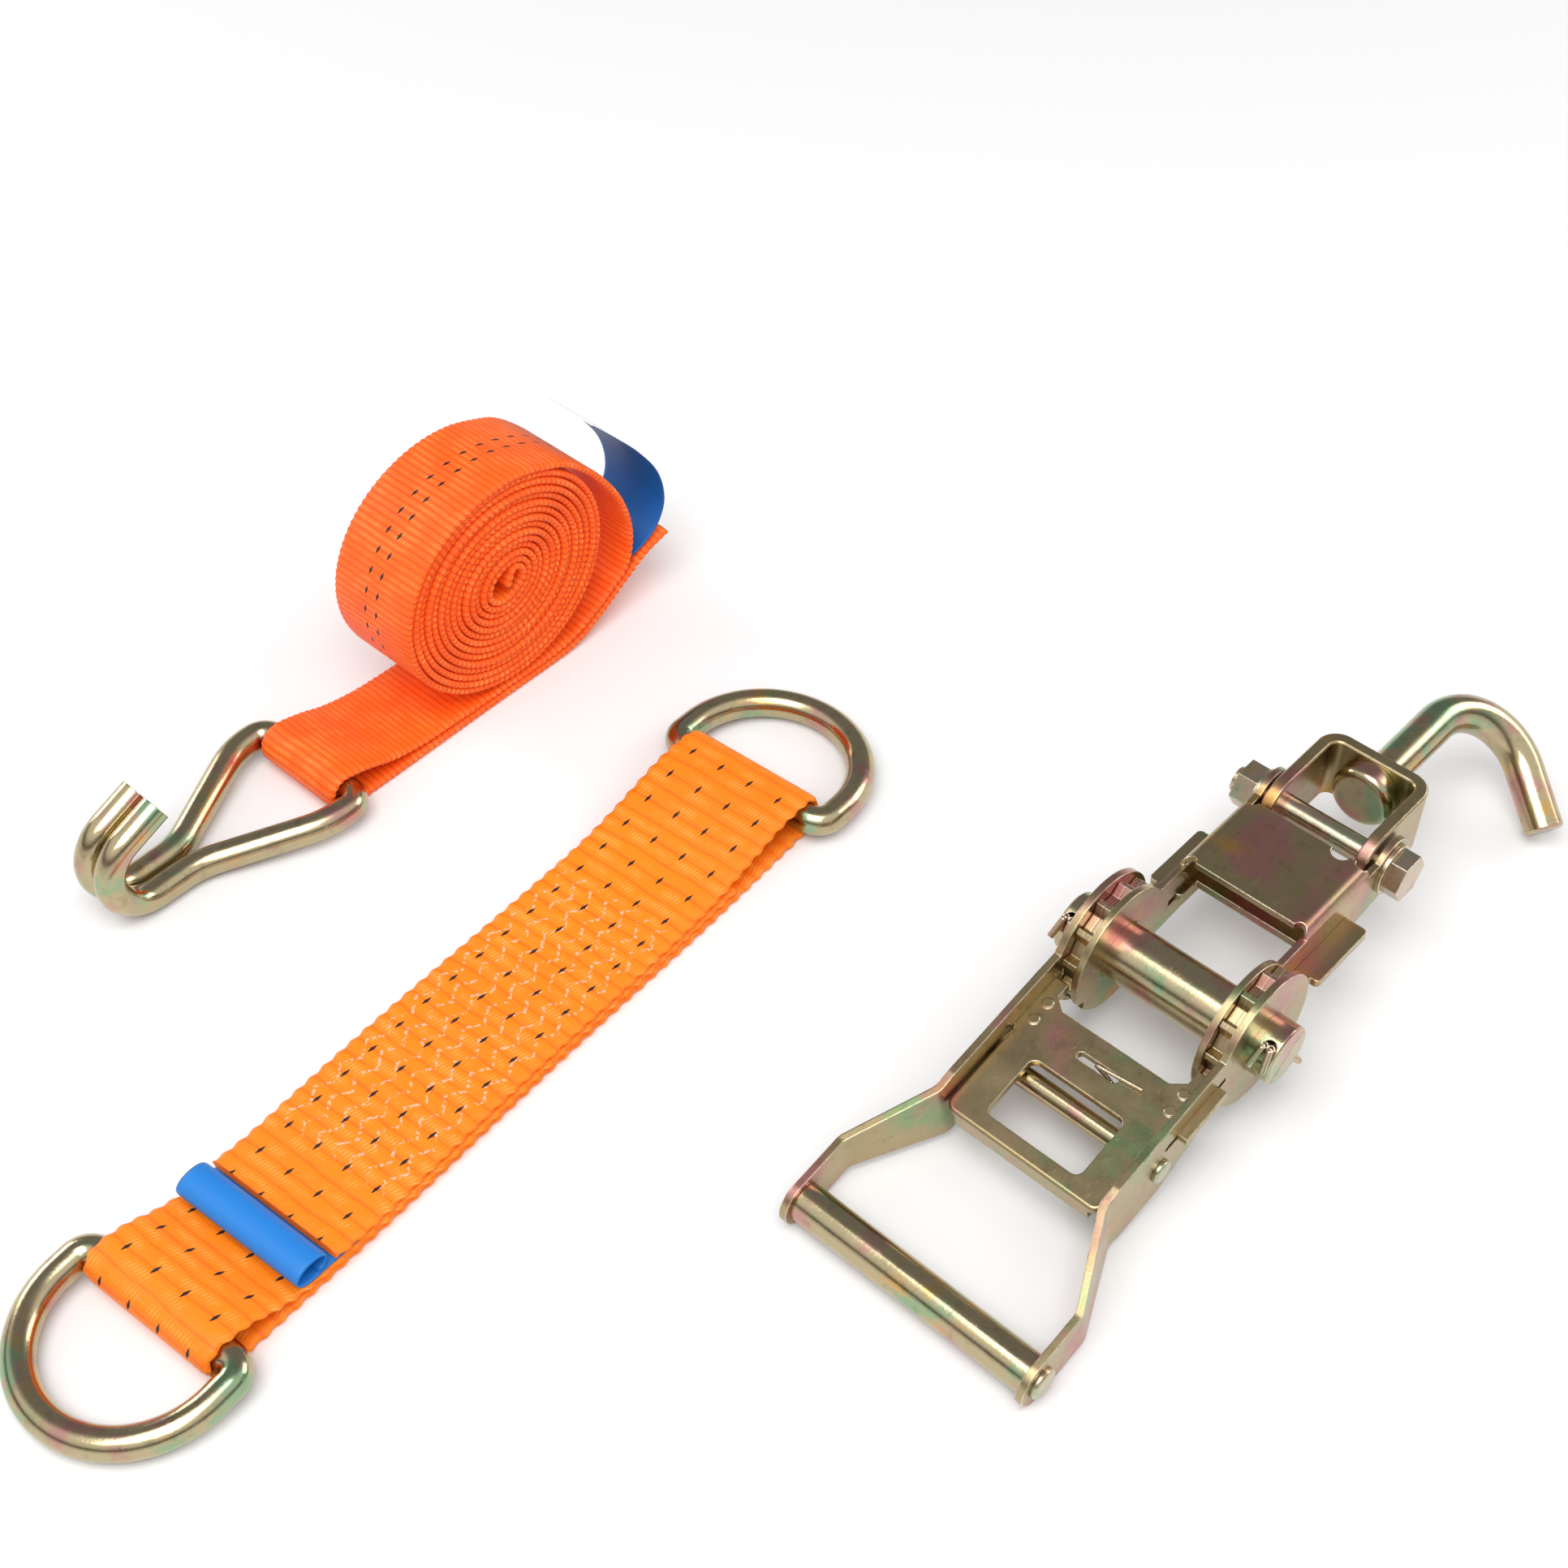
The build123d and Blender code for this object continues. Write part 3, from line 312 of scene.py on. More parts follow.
# ---------------------------------------------------------------- finishes
@dataclass(frozen=True)
class ZincFinish:
    """Passivated zinc plating: gold to olive with patches of pink, green and orange.

    Args:
        name: The material's name.
        base: Main colour.
        rose: Colour of the pink patches.
        green: Colour of the green patches.
        amber: Colour of the orange patches.
        patch: Size of a patch, in metres.
        tint: How strong the patches are.
        roughness: Roughness of the clean metal.
        rim: Colour of the rubbed edges, which also paints a highlight along them.
        stain: Colour of the small dark stains.
        edge: Radius over which an edge reads as rounded and rubbed, with a painted highlight, in metres.
        relief: Depth of the scratches and pits, in metres.
    """

    name: str
    base: Colour
    rose: Colour
    green: Colour
    amber: Colour
    patch: float = 0.022
    tint: float = 0.8
    roughness: float = 0.27
    rim: Colour = (0.93, 0.87, 0.70)
    stain: Colour = (0.20, 0.15, 0.08)
    edge: float = 0.0006
    relief: float = 0.00006

    def patches(self, bench: NodeBench, where: Socket) -> Socket:
        """The colour of the plating before wear.

        Args:
            bench: The material's bench.
            where: Coordinates on the piece.

        Returns:
            The colour.
        """
        stretched = bench.place((1.3, 0.8, 1.7))
        rosy = bench.band(bench.noise(where, 1 / self.patch, 2.0), 0.50, 0.68)
        greenish = bench.band(bench.noise(where, 0.6 / self.patch, 4.0, 0.6), 0.47, 0.36)
        golden = bench.band(bench.noise(stretched, 0.9 / self.patch, 3.0), 0.58, 0.74)
        colour: object = self.base
        for other, mask in ((self.rose, rosy), (self.green, greenish), (self.amber, golden)):
            colour = bench.tinge(colour, other, mask, self.tint)
        stained = bench.band(bench.noise(where, Grain.STAIN, 5.0, 0.65), 0.52, 0.72)
        return bench.tinge(colour, self.stain, stained, 0.35)

    def edge_wear_and_highlight(self, bench: NodeBench, where: Socket, rounded: Socket) -> Socket:
        """Where the plating is rubbed off along the edges, and where a highlight is painted on them.

        Args:
            bench: The material's bench.
            where: Coordinates on the piece.
            rounded: The normal with its edges rounded.

        Returns:
            1 on a rubbed edge, which also carries the painted highlight.
        """
        flat = bench.add("ShaderNodeNewGeometry").outputs["True Normal"]
        turned = bench.band(bench.dot(rounded, flat), 0.985, 0.80)
        return bench.math("MULTIPLY", turned, bench.band(bench.noise(where, Grain.WEAR, 3.0), 0.30, 0.55))

    def material(self) -> bpy.types.Material:
        """Builds the material."""
        material, bench, shader = fresh_material(self.name)
        where = bench.place()
        bevel = bench.add("ShaderNodeBevel", samples=6)
        bevel.inputs[0].default_value = self.edge
        rounded = bevel.outputs[0]
        # Pale edges: rubbed-off plating, and a painted edge highlight as well.
        colour = bench.tinge(self.patches(bench, where), self.rim, self.edge_wear_and_highlight(bench, where, rounded), 0.85)
        bench.feed(shader.inputs["Base Color"], colour)
        scratches = bench.noise(bench.place((1.0, 14.0, 14.0)), Grain.SCRATCH, 3.0, 0.7)
        dull = bench.noise(where, Grain.GLOSS, 5.0, 0.6)
        rough = bench.math("MULTIPLY_ADD", dull, 0.26, self.roughness - 0.11)
        rough = bench.math("MULTIPLY_ADD", bench.band(scratches, 0.60, 0.72), 0.12, rough)
        bench.feed(shader.inputs["Roughness"], rough)
        shader.inputs["Metallic"].default_value = 1.0
        pits = bench.math("MULTIPLY", bench.noise(where, Grain.PITTING, 2.0), 0.5)
        height = bench.math("MULTIPLY_ADD", scratches, 0.5, pits)
        bench.feed(shader.inputs["Normal"], bench.bump(height, self.relief, 0.55, rounded))
        return material


@dataclass(frozen=True)
class WebbingFinish:
    """Woven polyester webbing on a piece whose UV map is across and along, in metres.

    Args:
        name: The material's name.
        valley_shade_and_fade: Painted shade between the ribs, also the colour of the random faded patches.
        base: Main colour.
        painted_crest_highlight: Painted highlight on the rib tops.
        width: Width of the webbing, in metres.
        rib: Pitch of the crosswise ribs, in metres.
        yarn: Pitch of the lengthwise yarns, in metres.
        rows: Places of the black trace threads across the width, in metres.
        dash_pitch: Pitch of the dashes along a trace thread, in metres.
        dash_length: Length of a dash, in metres.
        relief: Height of a rib, in metres.
        sewn: Lengthwise stretch that zigzag stitching covers, in metres, if any.
        thread: Colour of the stitching.
        trace: Colour of the trace threads.
    """

    name: str
    valley_shade_and_fade: Colour
    base: Colour
    painted_crest_highlight: Colour
    width: float
    rib: float
    yarn: float
    rows: tuple[float, ...]
    dash_pitch: float
    dash_length: float
    relief: float = 0.0004
    sewn: tuple[float, float] | None = None
    thread: Colour = (1.0, 0.50, 0.32)
    trace: Colour = (0.018, 0.012, 0.012)

    def material(self) -> bpy.types.Material:
        """Builds the material."""
        material, bench, shader = fresh_material(self.name)
        where = bench.place(uv=True)
        across, along, _ = bench.axes(where)
        fibre = bench.noise(bench.place((1.0, 0.16, 1.0), uv=True), Grain.FIBRE, 2.0)
        patchy = bench.noise(where, Grain.WEAVE_PATCH, 3.0)
        drift = bench.math("SUBTRACT", bench.noise(where, Grain.WEAVE_DRIFT, 2.0), 0.5)
        phase = bench.math("MULTIPLY_ADD", along, 1 / self.rib, bench.math("MULTIPLY", drift, 0.5))
        height = self.weave(bench, across, phase, patchy)
        height = bench.math("MULTIPLY_ADD", fibre, 0.14, height)
        # Painted shade: the colour darkens between the ribs, following the rib height.
        colour = bench.mix(bench.band(height, 0.16, 0.52), self.valley_shade_and_fade, self.base)
        # Painted highlight: a lighter colour on the rib tops where the yarns stand out.
        bright = bench.math("MULTIPLY", bench.band(height, 0.66, 0.96), bench.band(patchy, 0.34, 0.60))
        colour = bench.tinge(colour, self.painted_crest_highlight, bright, 0.75)
        # Faded patches at random, in the same colour as the painted shade between the ribs.
        faded = bench.band(bench.noise(where, Grain.FADE, 2.0), 0.3, 0.7)
        colour = bench.tinge(colour, self.valley_shade_and_fade, faded, 0.22)
        if self.sewn is not None:
            sewn = self.stitches(bench, across, along, where)
            colour = bench.tinge(colour, self.thread, sewn, 0.8)
            height = bench.math("MULTIPLY_ADD", sewn, 0.5, height)
        colour = bench.mix(self.traces(bench, across, along), colour, self.trace)
        bench.feed(shader.inputs["Base Color"], colour)
        bench.feed(shader.inputs["Roughness"], bench.math("MULTIPLY_ADD", fibre, 0.25, 0.42))
        shader.inputs["Sheen Weight"].default_value = 0.03
        shader.inputs["Sheen Roughness"].default_value = 0.4
        shader.inputs["Specular IOR Level"].default_value = 0.35
        bench.feed(shader.inputs["Normal"], bench.bump(height, self.relief, 0.85))
        return material

    def weave(self, bench: NodeBench, across: Socket, phase: Socket, patchy: Socket) -> Socket:
        """The height of the ribs and of the slanted yarns on them.

        Args:
            bench: The material's bench.
            across: Place across the webbing.
            phase: Place along the webbing, in ribs.
            patchy: Where the yarns stand out.

        Returns:
            The height.
        """
        swell = bench.math("ABSOLUTE", bench.math("SINE", bench.math("MULTIPLY", phase, math.pi)))
        swell = bench.math("POWER", swell, 0.7)
        slant = bench.math("MULTIPLY", bench.math("FRACT", phase), 1.1)
        yarns = bench.math("MULTIPLY_ADD", across, 1 / self.yarn, slant)
        twist = bench.math("SINE", bench.math("MULTIPLY", yarns, math.tau))
        twist = bench.math("MULTIPLY_ADD", twist, 0.5, 0.5)
        combed = bench.math("MULTIPLY", twist, bench.band(patchy, 0.35, 0.62))
        return bench.math("MULTIPLY_ADD", swell, 0.62, bench.math("MULTIPLY", combed, 0.26))

    def traces(self, bench: NodeBench, across: Socket, along: Socket) -> Socket:
        """The black trace threads, which show as dashes where they cross over a rib.

        Args:
            bench: The material's bench.
            across: Place across the webbing.
            along: Place along the webbing.

        Returns:
            1 on a dash.
        """
        half_width, taper, lean = 0.00058, 0.0011, 0.0012
        share = self.dash_length / self.dash_pitch / 2
        turn = bench.math("FRACT", bench.math("MULTIPLY", along, 1 / self.dash_pitch))
        past_middle = bench.math("SUBTRACT", turn, 0.5)
        off_middle = bench.math("ABSOLUTE", past_middle)
        lit = bench.band(off_middle, share, share * 0.75)
        narrow = bench.math("MULTIPLY_ADD", off_middle, -taper / share / 2, half_width)
        leaning = bench.math("ADD", across, bench.math("MULTIPLY", past_middle, lean))
        total: object = 0.0
        for row in self.rows:
            off = bench.math("ABSOLUTE", bench.math("SUBTRACT", leaning, row))
            total = bench.math("MAXIMUM", total, bench.math("LESS_THAN", off, narrow))
        return bench.math("MULTIPLY", lit, total)

    def stitches(self, bench: NodeBench, across: Socket, along: Socket, where: Socket) -> Socket:
        """Zigzag stitching, broken where the thread sinks between the ribs.

        Args:
            bench: The material's bench.
            across: Place across the webbing.
            along: Place along the webbing.
            where: The UV coordinates.

        Returns:
            1 where the thread shows.
        """
        lane, step, swing, ends = 0.0062, 0.0050, 0.56, 0.004
        sway = bench.math("PINGPONG", bench.math("MULTIPLY", along, 1 / step), 1.0)
        sway = bench.math("MULTIPLY", bench.math("SUBTRACT", sway, 0.5), swing)
        run = bench.math("SUBTRACT", bench.math("MULTIPLY", across, 1 / lane), sway)
        turn = bench.math("FRACT", bench.math("ADD", run, 0.5))
        line = bench.band(bench.math("ABSOLUTE", bench.math("SUBTRACT", turn, 0.5)), 0.13, 0.05)
        broken = bench.band(bench.noise(where, Grain.BROKEN_THREAD, 1.0), 0.48, 0.56)
        low, high = self.sewn
        begun, ended = bench.band(along, low, low + ends), bench.band(along, high, high - ends)
        half = self.width / 2
        margin = bench.band(bench.math("ABSOLUTE", across), half - 0.0015, half - 0.0025)
        inside = bench.math("MULTIPLY", bench.math("MULTIPLY", begun, ended), margin)
        return bench.math("MULTIPLY", bench.math("MULTIPLY", line, broken), inside)


@dataclass(frozen=True)
class LabelFinish:
    """A thin label, printed colour on one side and paler on the other.

    Args:
        name: The material's name.
        face: Colour of the outer side.
        back: Colour of the inner side.
        weave_shade: Colour between the label's threads.
    """

    name: str
    face: Colour
    back: Colour
    weave_shade: Colour = (0.02, 0.04, 0.10)

    def material(self) -> bpy.types.Material:
        """Builds the material: UV x is over 0.5 on the inner side."""
        material, bench, shader = fresh_material(self.name)
        where = bench.place(uv=True)
        weave = bench.noise(bench.place((1.0, 0.3, 1.0), uv=True), Grain.LABEL_WEAVE, 2.0)
        cloudy = bench.noise(where, Grain.LABEL_CLOUD, 3.0)
        inner = bench.math("GREATER_THAN", bench.axes(where)[0], 0.5)
        darker = tuple(0.62 * part for part in self.face)
        colour = bench.mix(inner, bench.tinge(self.face, darker, cloudy, 0.3), self.back)
        colour = bench.tinge(colour, self.weave_shade, bench.band(weave, 0.5, 0.8), 0.18)
        bench.feed(shader.inputs["Base Color"], colour)
        bench.feed(shader.inputs["Roughness"], bench.math("MULTIPLY_ADD", weave, 0.2, 0.38))
        bench.feed(shader.inputs["Normal"], bench.bump(weave, 0.00005, 0.6))
        return material


@dataclass(frozen=True)
class FloorFinish:
    """The pale table the set lies on.

    Args:
        name: The material's name.
        tone: Main colour.
        cloud: Colour of its faint clouds.
    """

    name: str = "pale_table"
    tone: Colour = (0.86, 0.86, 0.86)
    cloud: Colour = (0.80, 0.80, 0.81)

    def material(self) -> bpy.types.Material:
        """Builds the material."""
        material, bench, shader = fresh_material(self.name)
        cloudy = bench.noise(bench.place(), Grain.TABLE_CLOUD, 2.0)
        bench.feed(shader.inputs["Base Color"], bench.tinge(self.tone, self.cloud, cloudy, 0.15))
        shader.inputs["Roughness"].default_value = 0.65
        shader.inputs["Specular IOR Level"].default_value = 0.2
        return material


# ---------------------------------------------------------------- strap geometry
def arc(centre: Point2, radii: Point2, angles: Iterable[float]) -> list[Point2]:
    """Knots on an arc.

    Args:
        centre: The arc's centre.
        radii: Its horizontal and upright radius.
        angles: Where the knots are, in degrees.

    Returns:
        The knots in the order of the angles.
    """
    turns = [math.radians(angle) for angle in angles]
    return [(centre[0] + radii[0] * math.cos(turn), centre[1] + radii[1] * math.sin(turn)) for turn in turns]


@dataclass
class StrapRun:
    """A centre line in a vertical plane that a strap follows.

    Args:
        origin: Where the plane's zero is, in the row frame.
        heading: The plane's horizontal direction.
        points: The centre line, horizontal and height, in metres.
    """

    origin: Vector
    heading: Vector
    points: list[Point2] = field(default_factory=list)

    def smooth(self, knots: list[Point2], spacing: float) -> "StrapRun":
        """Adds a smooth curve through the knots.

        Args:
            knots: Points that the strap passes, in millimetres.
            spacing: Distance between the points that it adds, in metres.

        Returns:
            This run.
        """
        places = [Vector((x * MM, z * MM)) for x, z in knots]
        count = len(places)
        for index in range(count - 1):
            here, there = places[index], places[index + 1]
            chord = (there - here).length
            before = places[index - 1] if index else here - (there - here)
            after = places[index + 2] if index + 2 < count else there + (there - here)
            leave = (there - before).normalized() * chord / 3
            arrive = (after - here).normalized() * chord / 3
            steps = max(2, int(chord / spacing) + 1)
            curve = interpolate_bezier(here, here + leave, there - arrive, there, steps)
            self.points += [(p.x, p.y) for p in curve[:-1]]
        self.points.append((places[-1].x, places[-1].y))
        return self

    def evenly(self, spacing: float) -> list[Point2]:
        """The centre line with points at even distances.

        Args:
            spacing: The distance, in metres.

        Returns:
            The points.
        """
        even = [self.points[0]]
        left = spacing
        for (ax, az), (bx, bz) in zip(self.points, self.points[1:]):
            length = math.hypot(bx - ax, bz - az)
            travelled = 0.0
            while length - travelled >= left:
                travelled += left
                share = travelled / length
                even.append((ax + (bx - ax) * share, az + (bz - az) * share))
                left = spacing
            left -= length - travelled
        return even

    def length(self) -> float:
        """Length of the centre line, in metres."""
        return sum(math.dist(a, b) for a, b in zip(self.points, self.points[1:]))


@dataclass
class Strap:
    """A flat woven strap that follows a run, with rounded selvedges.

    Args:
        name: Name of the piece.
        run: Its centre line.
        width: Width of the strap, in metres.
        sheet: Thickness, in metres.
        spacing: Distance between cross sections, in metres.
        ripple: How far the selvedges wave in and out, in metres.
        ripple_pitch: Pitch of that wave, in metres.
        shift: Sideways offset of the strap, in metres.
        plain_side: Whether the side on the left of the run shows no trace threads.
    """

    name: str
    run: StrapRun
    width: float
    sheet: float
    spacing: float = 0.0008
    ripple: float = 0.00025
    ripple_pitch: float = 0.0024
    shift: float = 0.0
    plain_side: bool = False

    def section(self) -> list[Point2]:
        """The cross section, as places across (-1 to 1) and through (-1 to 1), once round."""
        top = [(-0.96, 0.8), (-0.88, 1.0), (-0.5, 1.0), (0.0, 1.0), (0.5, 1.0), (0.88, 1.0), (0.96, 0.8)]
        return [(-1.0, 0.0), *top, (1.0, 0.0), *[(across, -through) for across, through in reversed(top)]]

    def add_ring(self, shape: bmesh.types.BMesh, line: list[Point2], index: int) -> list[bmesh.types.BMVert]:
        """Adds the vertices of one cross section.

        Args:
            shape: The mesh in the making.
            line: The evenly spaced centre line.
            index: Which of its points the section is at.

        Returns:
            The vertices, once round.
        """
        selvedge = 0.9
        heading = self.run.heading
        sideways = heading.cross(UP)
        before, after = line[max(index - 1, 0)], line[min(index + 1, len(line) - 1)]
        tangent = Vector((after[0] - before[0], after[1] - before[1])).normalized()
        outward = heading * -tangent.y + UP * tangent.x
        centre = self.run.origin + heading * line[index][0] + UP * line[index][1]
        along = index * self.spacing
        wave = self.ripple * math.sin(math.tau * along / self.ripple_pitch)
        drift = 0.0004 * math.sin(along * 19.0) + 0.0003 * math.sin(along * 47.0 + 1.0)
        ring = []
        for across, through in self.section():
            aside = across * (self.width / 2 + wave * (abs(across) > selvedge)) + drift + self.shift
            ring.append(shape.verts.new(centre + sideways * aside + outward * (through * self.sheet / 2)))
        return ring

    def add_skin(self, shape: bmesh.types.BMesh, rings: list[list[bmesh.types.BMVert]]) -> None:
        """Joins the cross sections with faces and lays their UV map.

        Args:
            shape: The mesh in the making, with its UV layer.
            rings: The vertices of each cross section.
        """
        uv_layer = shape.loops.layers.uv["UVMap"]
        section = self.section()
        for index, (ring, following) in enumerate(zip(rings, rings[1:])):
            for corner, (across, through) in enumerate(section):
                after = (corner + 1) % len(section)
                face = shape.faces.new((ring[corner], ring[after], following[after], following[corner]))
                face.smooth = True
                beyond = 1.0 if self.plain_side and through + section[after][1] > 0 else 0.0
                sides = (across, section[after][0], section[after][0], across)
                for loop, side, step in zip(face.loops, sides, (0, 0, 1, 1)):
                    loop[uv_layer].uv = (side * self.width / 2 + beyond, (index + step) * self.spacing)

    def build(self) -> bpy.types.Object:
        """Makes the strap's mesh, with a UV map of metres across and along.

        Returns:
            The strap, at the origin.
        """
        line = self.run.evenly(self.spacing)
        mesh = bpy.data.meshes.new(self.name)
        shape = bmesh.new()
        shape.loops.layers.uv.new("UVMap")
        rings = [self.add_ring(shape, line, index) for index in range(len(line))]
        self.add_skin(shape, rings)
        for ring in (rings[0], rings[-1]):
            shape.faces.new(ring)
        bmesh.ops.recalc_face_normals(shape, faces=shape.faces)
        shape.to_mesh(mesh)
        shape.free()
        strap = bpy.data.objects.new(self.name, mesh)
        bpy.context.scene.collection.objects.link(strap)
        LOG.info("%s: %.3f m long, %d faces", self.name, self.run.length(), len(mesh.polygons))
        return strap


# ---------------------------------------------------------------- sub-assemblies
class Hardware:
    """The CAD nodes of the ratchet, hooks and rings, dressed in plated finishes."""

    SHEET = ZincFinish(
        "plated_sheet",
        base=(0.42, 0.33, 0.18),
        rose=(0.48, 0.23, 0.20),
        green=(0.25, 0.37, 0.18),
        amber=(0.60, 0.33, 0.10),
        tint=0.95,
    )
    FORGED = ZincFinish(
        "plated_rod",
        base=(0.48, 0.40, 0.24),
        rose=(0.52, 0.28, 0.24),
        green=(0.29, 0.42, 0.25),
        amber=(0.62, 0.38, 0.14),
        patch=0.011,
        tint=0.95,
        roughness=0.16,
    )
    BRIGHT = ZincFinish(
        "bright_fastener",
        base=(0.56, 0.44, 0.31),
        rose=(0.58, 0.36, 0.32),
        green=(0.40, 0.48, 0.32),
        amber=(0.62, 0.42, 0.18),
        patch=0.008,
        tint=0.7,
        roughness=0.22,
    )

    def dress(self) -> None:
        """Gives each plated CAD node its finish."""
        finishes = {
            "zinc_sheet": self.SHEET.material(),
            "zinc_forged": self.FORGED.material(),
            "zinc_hardware": self.BRIGHT.material(),
        }
        for row in frame["record"]["subparts"]:
            material = finishes.get(row["material_slot"])
            if material is None:
                continue
            node = frame["nodes"][row["node"]]
            node.data.materials.clear()
            node.data.materials.append(material)
            LOG.info("%s dressed as %s", row["node"], material.name)


@dataclass
class LongStrap:
    """The coiled lashing strap, from its sewn tail round the claw hook and into the coil.

    Args:
        width: Width of the strap, in metres.
        sheet: Its thickness, in metres.
        turns: Turns in the coil.
        turn_knots: Knots in each turn.
        start: Where the coil's outer turn begins, in degrees.
        outer: Radius of the outer turn, as a share of the coil's.
        inner: Radius of the inner turn, as a share of the coil's.
        core: Radius at the strap's inner end, in millimetres.
        bar: Middle of the claw hook's bar, along and above the floor, in millimetres.
        loop: Radius of the centre line round that bar, in millimetres.
        label_width: Width of the label, in metres.
        label_sheet: Its thickness, in metres.
        finish: The webbing's finish.
    """

    width: float = 0.035
    sheet: float = 0.0023
    turns: int = 14
    turn_knots: int = 24
    start: float = 62.0
    outer: float = 0.965
    inner: float = 0.13
    core: float = 1.5
    bar: Point2 = (-94.0, 7.1)
    loop: float = 5.92
    label_width: float = 0.028
    label_sheet: float = 0.0005
    finish: WebbingFinish = WebbingFinish(
        "red_orange_webbing",
        # The next colour is painted shade between the ribs, also used for random faded patches.
        valley_shade_and_fade=(0.78, 0.060, 0.003),
        base=(1.0, 0.135, 0.004),
        # The next colour is a painted highlight on the rib tops.
        painted_crest_highlight=(1.0, 0.32, 0.06),
        width=width,
        rib=0.00225,
        yarn=0.0011,
        rows=(-0.0025, 0.0025),
        dash_pitch=0.0067,
        dash_length=0.0034,
        relief=0.00032,
    )

    def coil_knots(self) -> list[Point2]:
        """The centre line's knots in the coil, from outside to core, inside the coil's CAD ring."""
        low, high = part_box("strap_coil")
        middle = (low + high) / 2
        reach, rise = (high.x - low.x) / 2 / MM, (high.z - low.z) / 2 / MM
        centre = (middle.x / MM, (middle.z - Layout.FLOOR.value) / MM)
        total = self.turns * self.turn_knots
        knots: list[Point2] = []
        for step in range(total + 1):
            angle = math.radians(self.start) + math.tau * step / self.turn_knots
            share = step / total
            # A coil wound by hand is faintly three-cornered outside and oval at its core.
            wobble = 0.006 * math.sin(3 * angle) * (1 - share) + 0.02 * share * math.sin(2 * angle + 0.6)
            size = self.outer + (self.inner - self.outer) * share + wobble
            along, upright = reach * size * math.cos(angle), rise * size * math.sin(angle)
            knots.append((centre[0] + along, centre[1] + upright))
        return knots + arc(centre, (self.core, self.core), [self.start + 180])

    def route(self) -> StrapRun:
        """The strap's centre line from the tail to the coil's core."""
        half = self.sheet / 2 / MM
        tail = [(48.0, 23.0), (38.0, 20.3), (28.0, 15.0), (14.0, 6.6), (4.0, 2.2), (-8.0, half + 0.1)]
        under = [(x, half) for x in (-30.0, -60.0, -84.0)]
        over = [
            *((-84.0, 10.4), (-75.0, 7.0), (-62.0, 4.5), (-46.0, 3.7), (-30.0, 3.55), (-8.0, 3.6)),
            *((4.0, 5.3), (14.0, 9.7), (23.0, 15.0), (28.6, 19.3), (31.3, 26.0)),
            *((31.8, 35.5), (28.6, 47.5), (23.2, 57.5), (16.0, 66.8), (6.5, 75.6)),
        ]
        round_bar = arc(self.bar, (self.loop, self.loop), range(270, 89, -30))
        run = StrapRun(Vector((0, Layout.STRAP_MIDDLE.value, Layout.FLOOR.value)), Vector((1, 0, 0)))
        return run.smooth(tail + under + round_bar + over + self.coil_knots(), 0.0012)

    def build(self, label: bpy.types.Material) -> None:
        """Builds the strap and its label.

        Args:
            label: The label's material.
        """
        run = self.route()
        strap = Strap(
            "long_strap_webbing", run, self.width, self.sheet, spacing=0.00075, plain_side=True
        ).build()
        strap.data.materials.append(self.finish.material())
        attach(strap, "long_strap")
        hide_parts("strap_lead", "strap_coil")
        run.length()
        self.build_label(run, label)

    def build_label(self, run: StrapRun, label: bpy.types.Material) -> None:
        """Builds the label that stands up behind the coil.

        Args:
            run: The strap's run.
            label: The label's material.
        """
        upright = [(32.0, 21.5), (38.5, 23.3), (44.5, 27.5), (48.3, 36.0)]
        curled = [(46.2, 48.5), (38.2, 61.5), (28.5, 73.0), (19.5, 83.0)]
        tag_run = StrapRun(run.origin, run.heading).smooth(upright + curled, 0.001)
        tag = Strap(
            "long_strap_label",
            tag_run,
            self.label_width,
            self.label_sheet,
            spacing=0.002,
            ripple=0.0,
            shift=0.002,
        ).build()
        mark_inner_side(tag)
        tag.data.materials.append(label)
        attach(tag, "long_strap")
        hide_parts("strap_label")
        tag_run.length()


def mark_inner_side(tag: bpy.types.Object) -> None:
    """Moves the UV of a label's inner side over by 1, so that its finish can tell the two sides.

    Args:
        tag: The label, whose centre line runs from its foot.
    """
    layer = tag.data.uv_layers["UVMap"]
    centre = sum((vertex.co for vertex in tag.data.vertices), Vector()) / len(tag.data.vertices)
    toward_coil = Vector((-0.03, 0, 0))
    hollow = centre + toward_coil
    for face in tag.data.polygons:
        if face.normal.dot(hollow - face.center) > 0:
            for corner in face.loop_indices:
                layer.data[corner].uv.x += 1.0


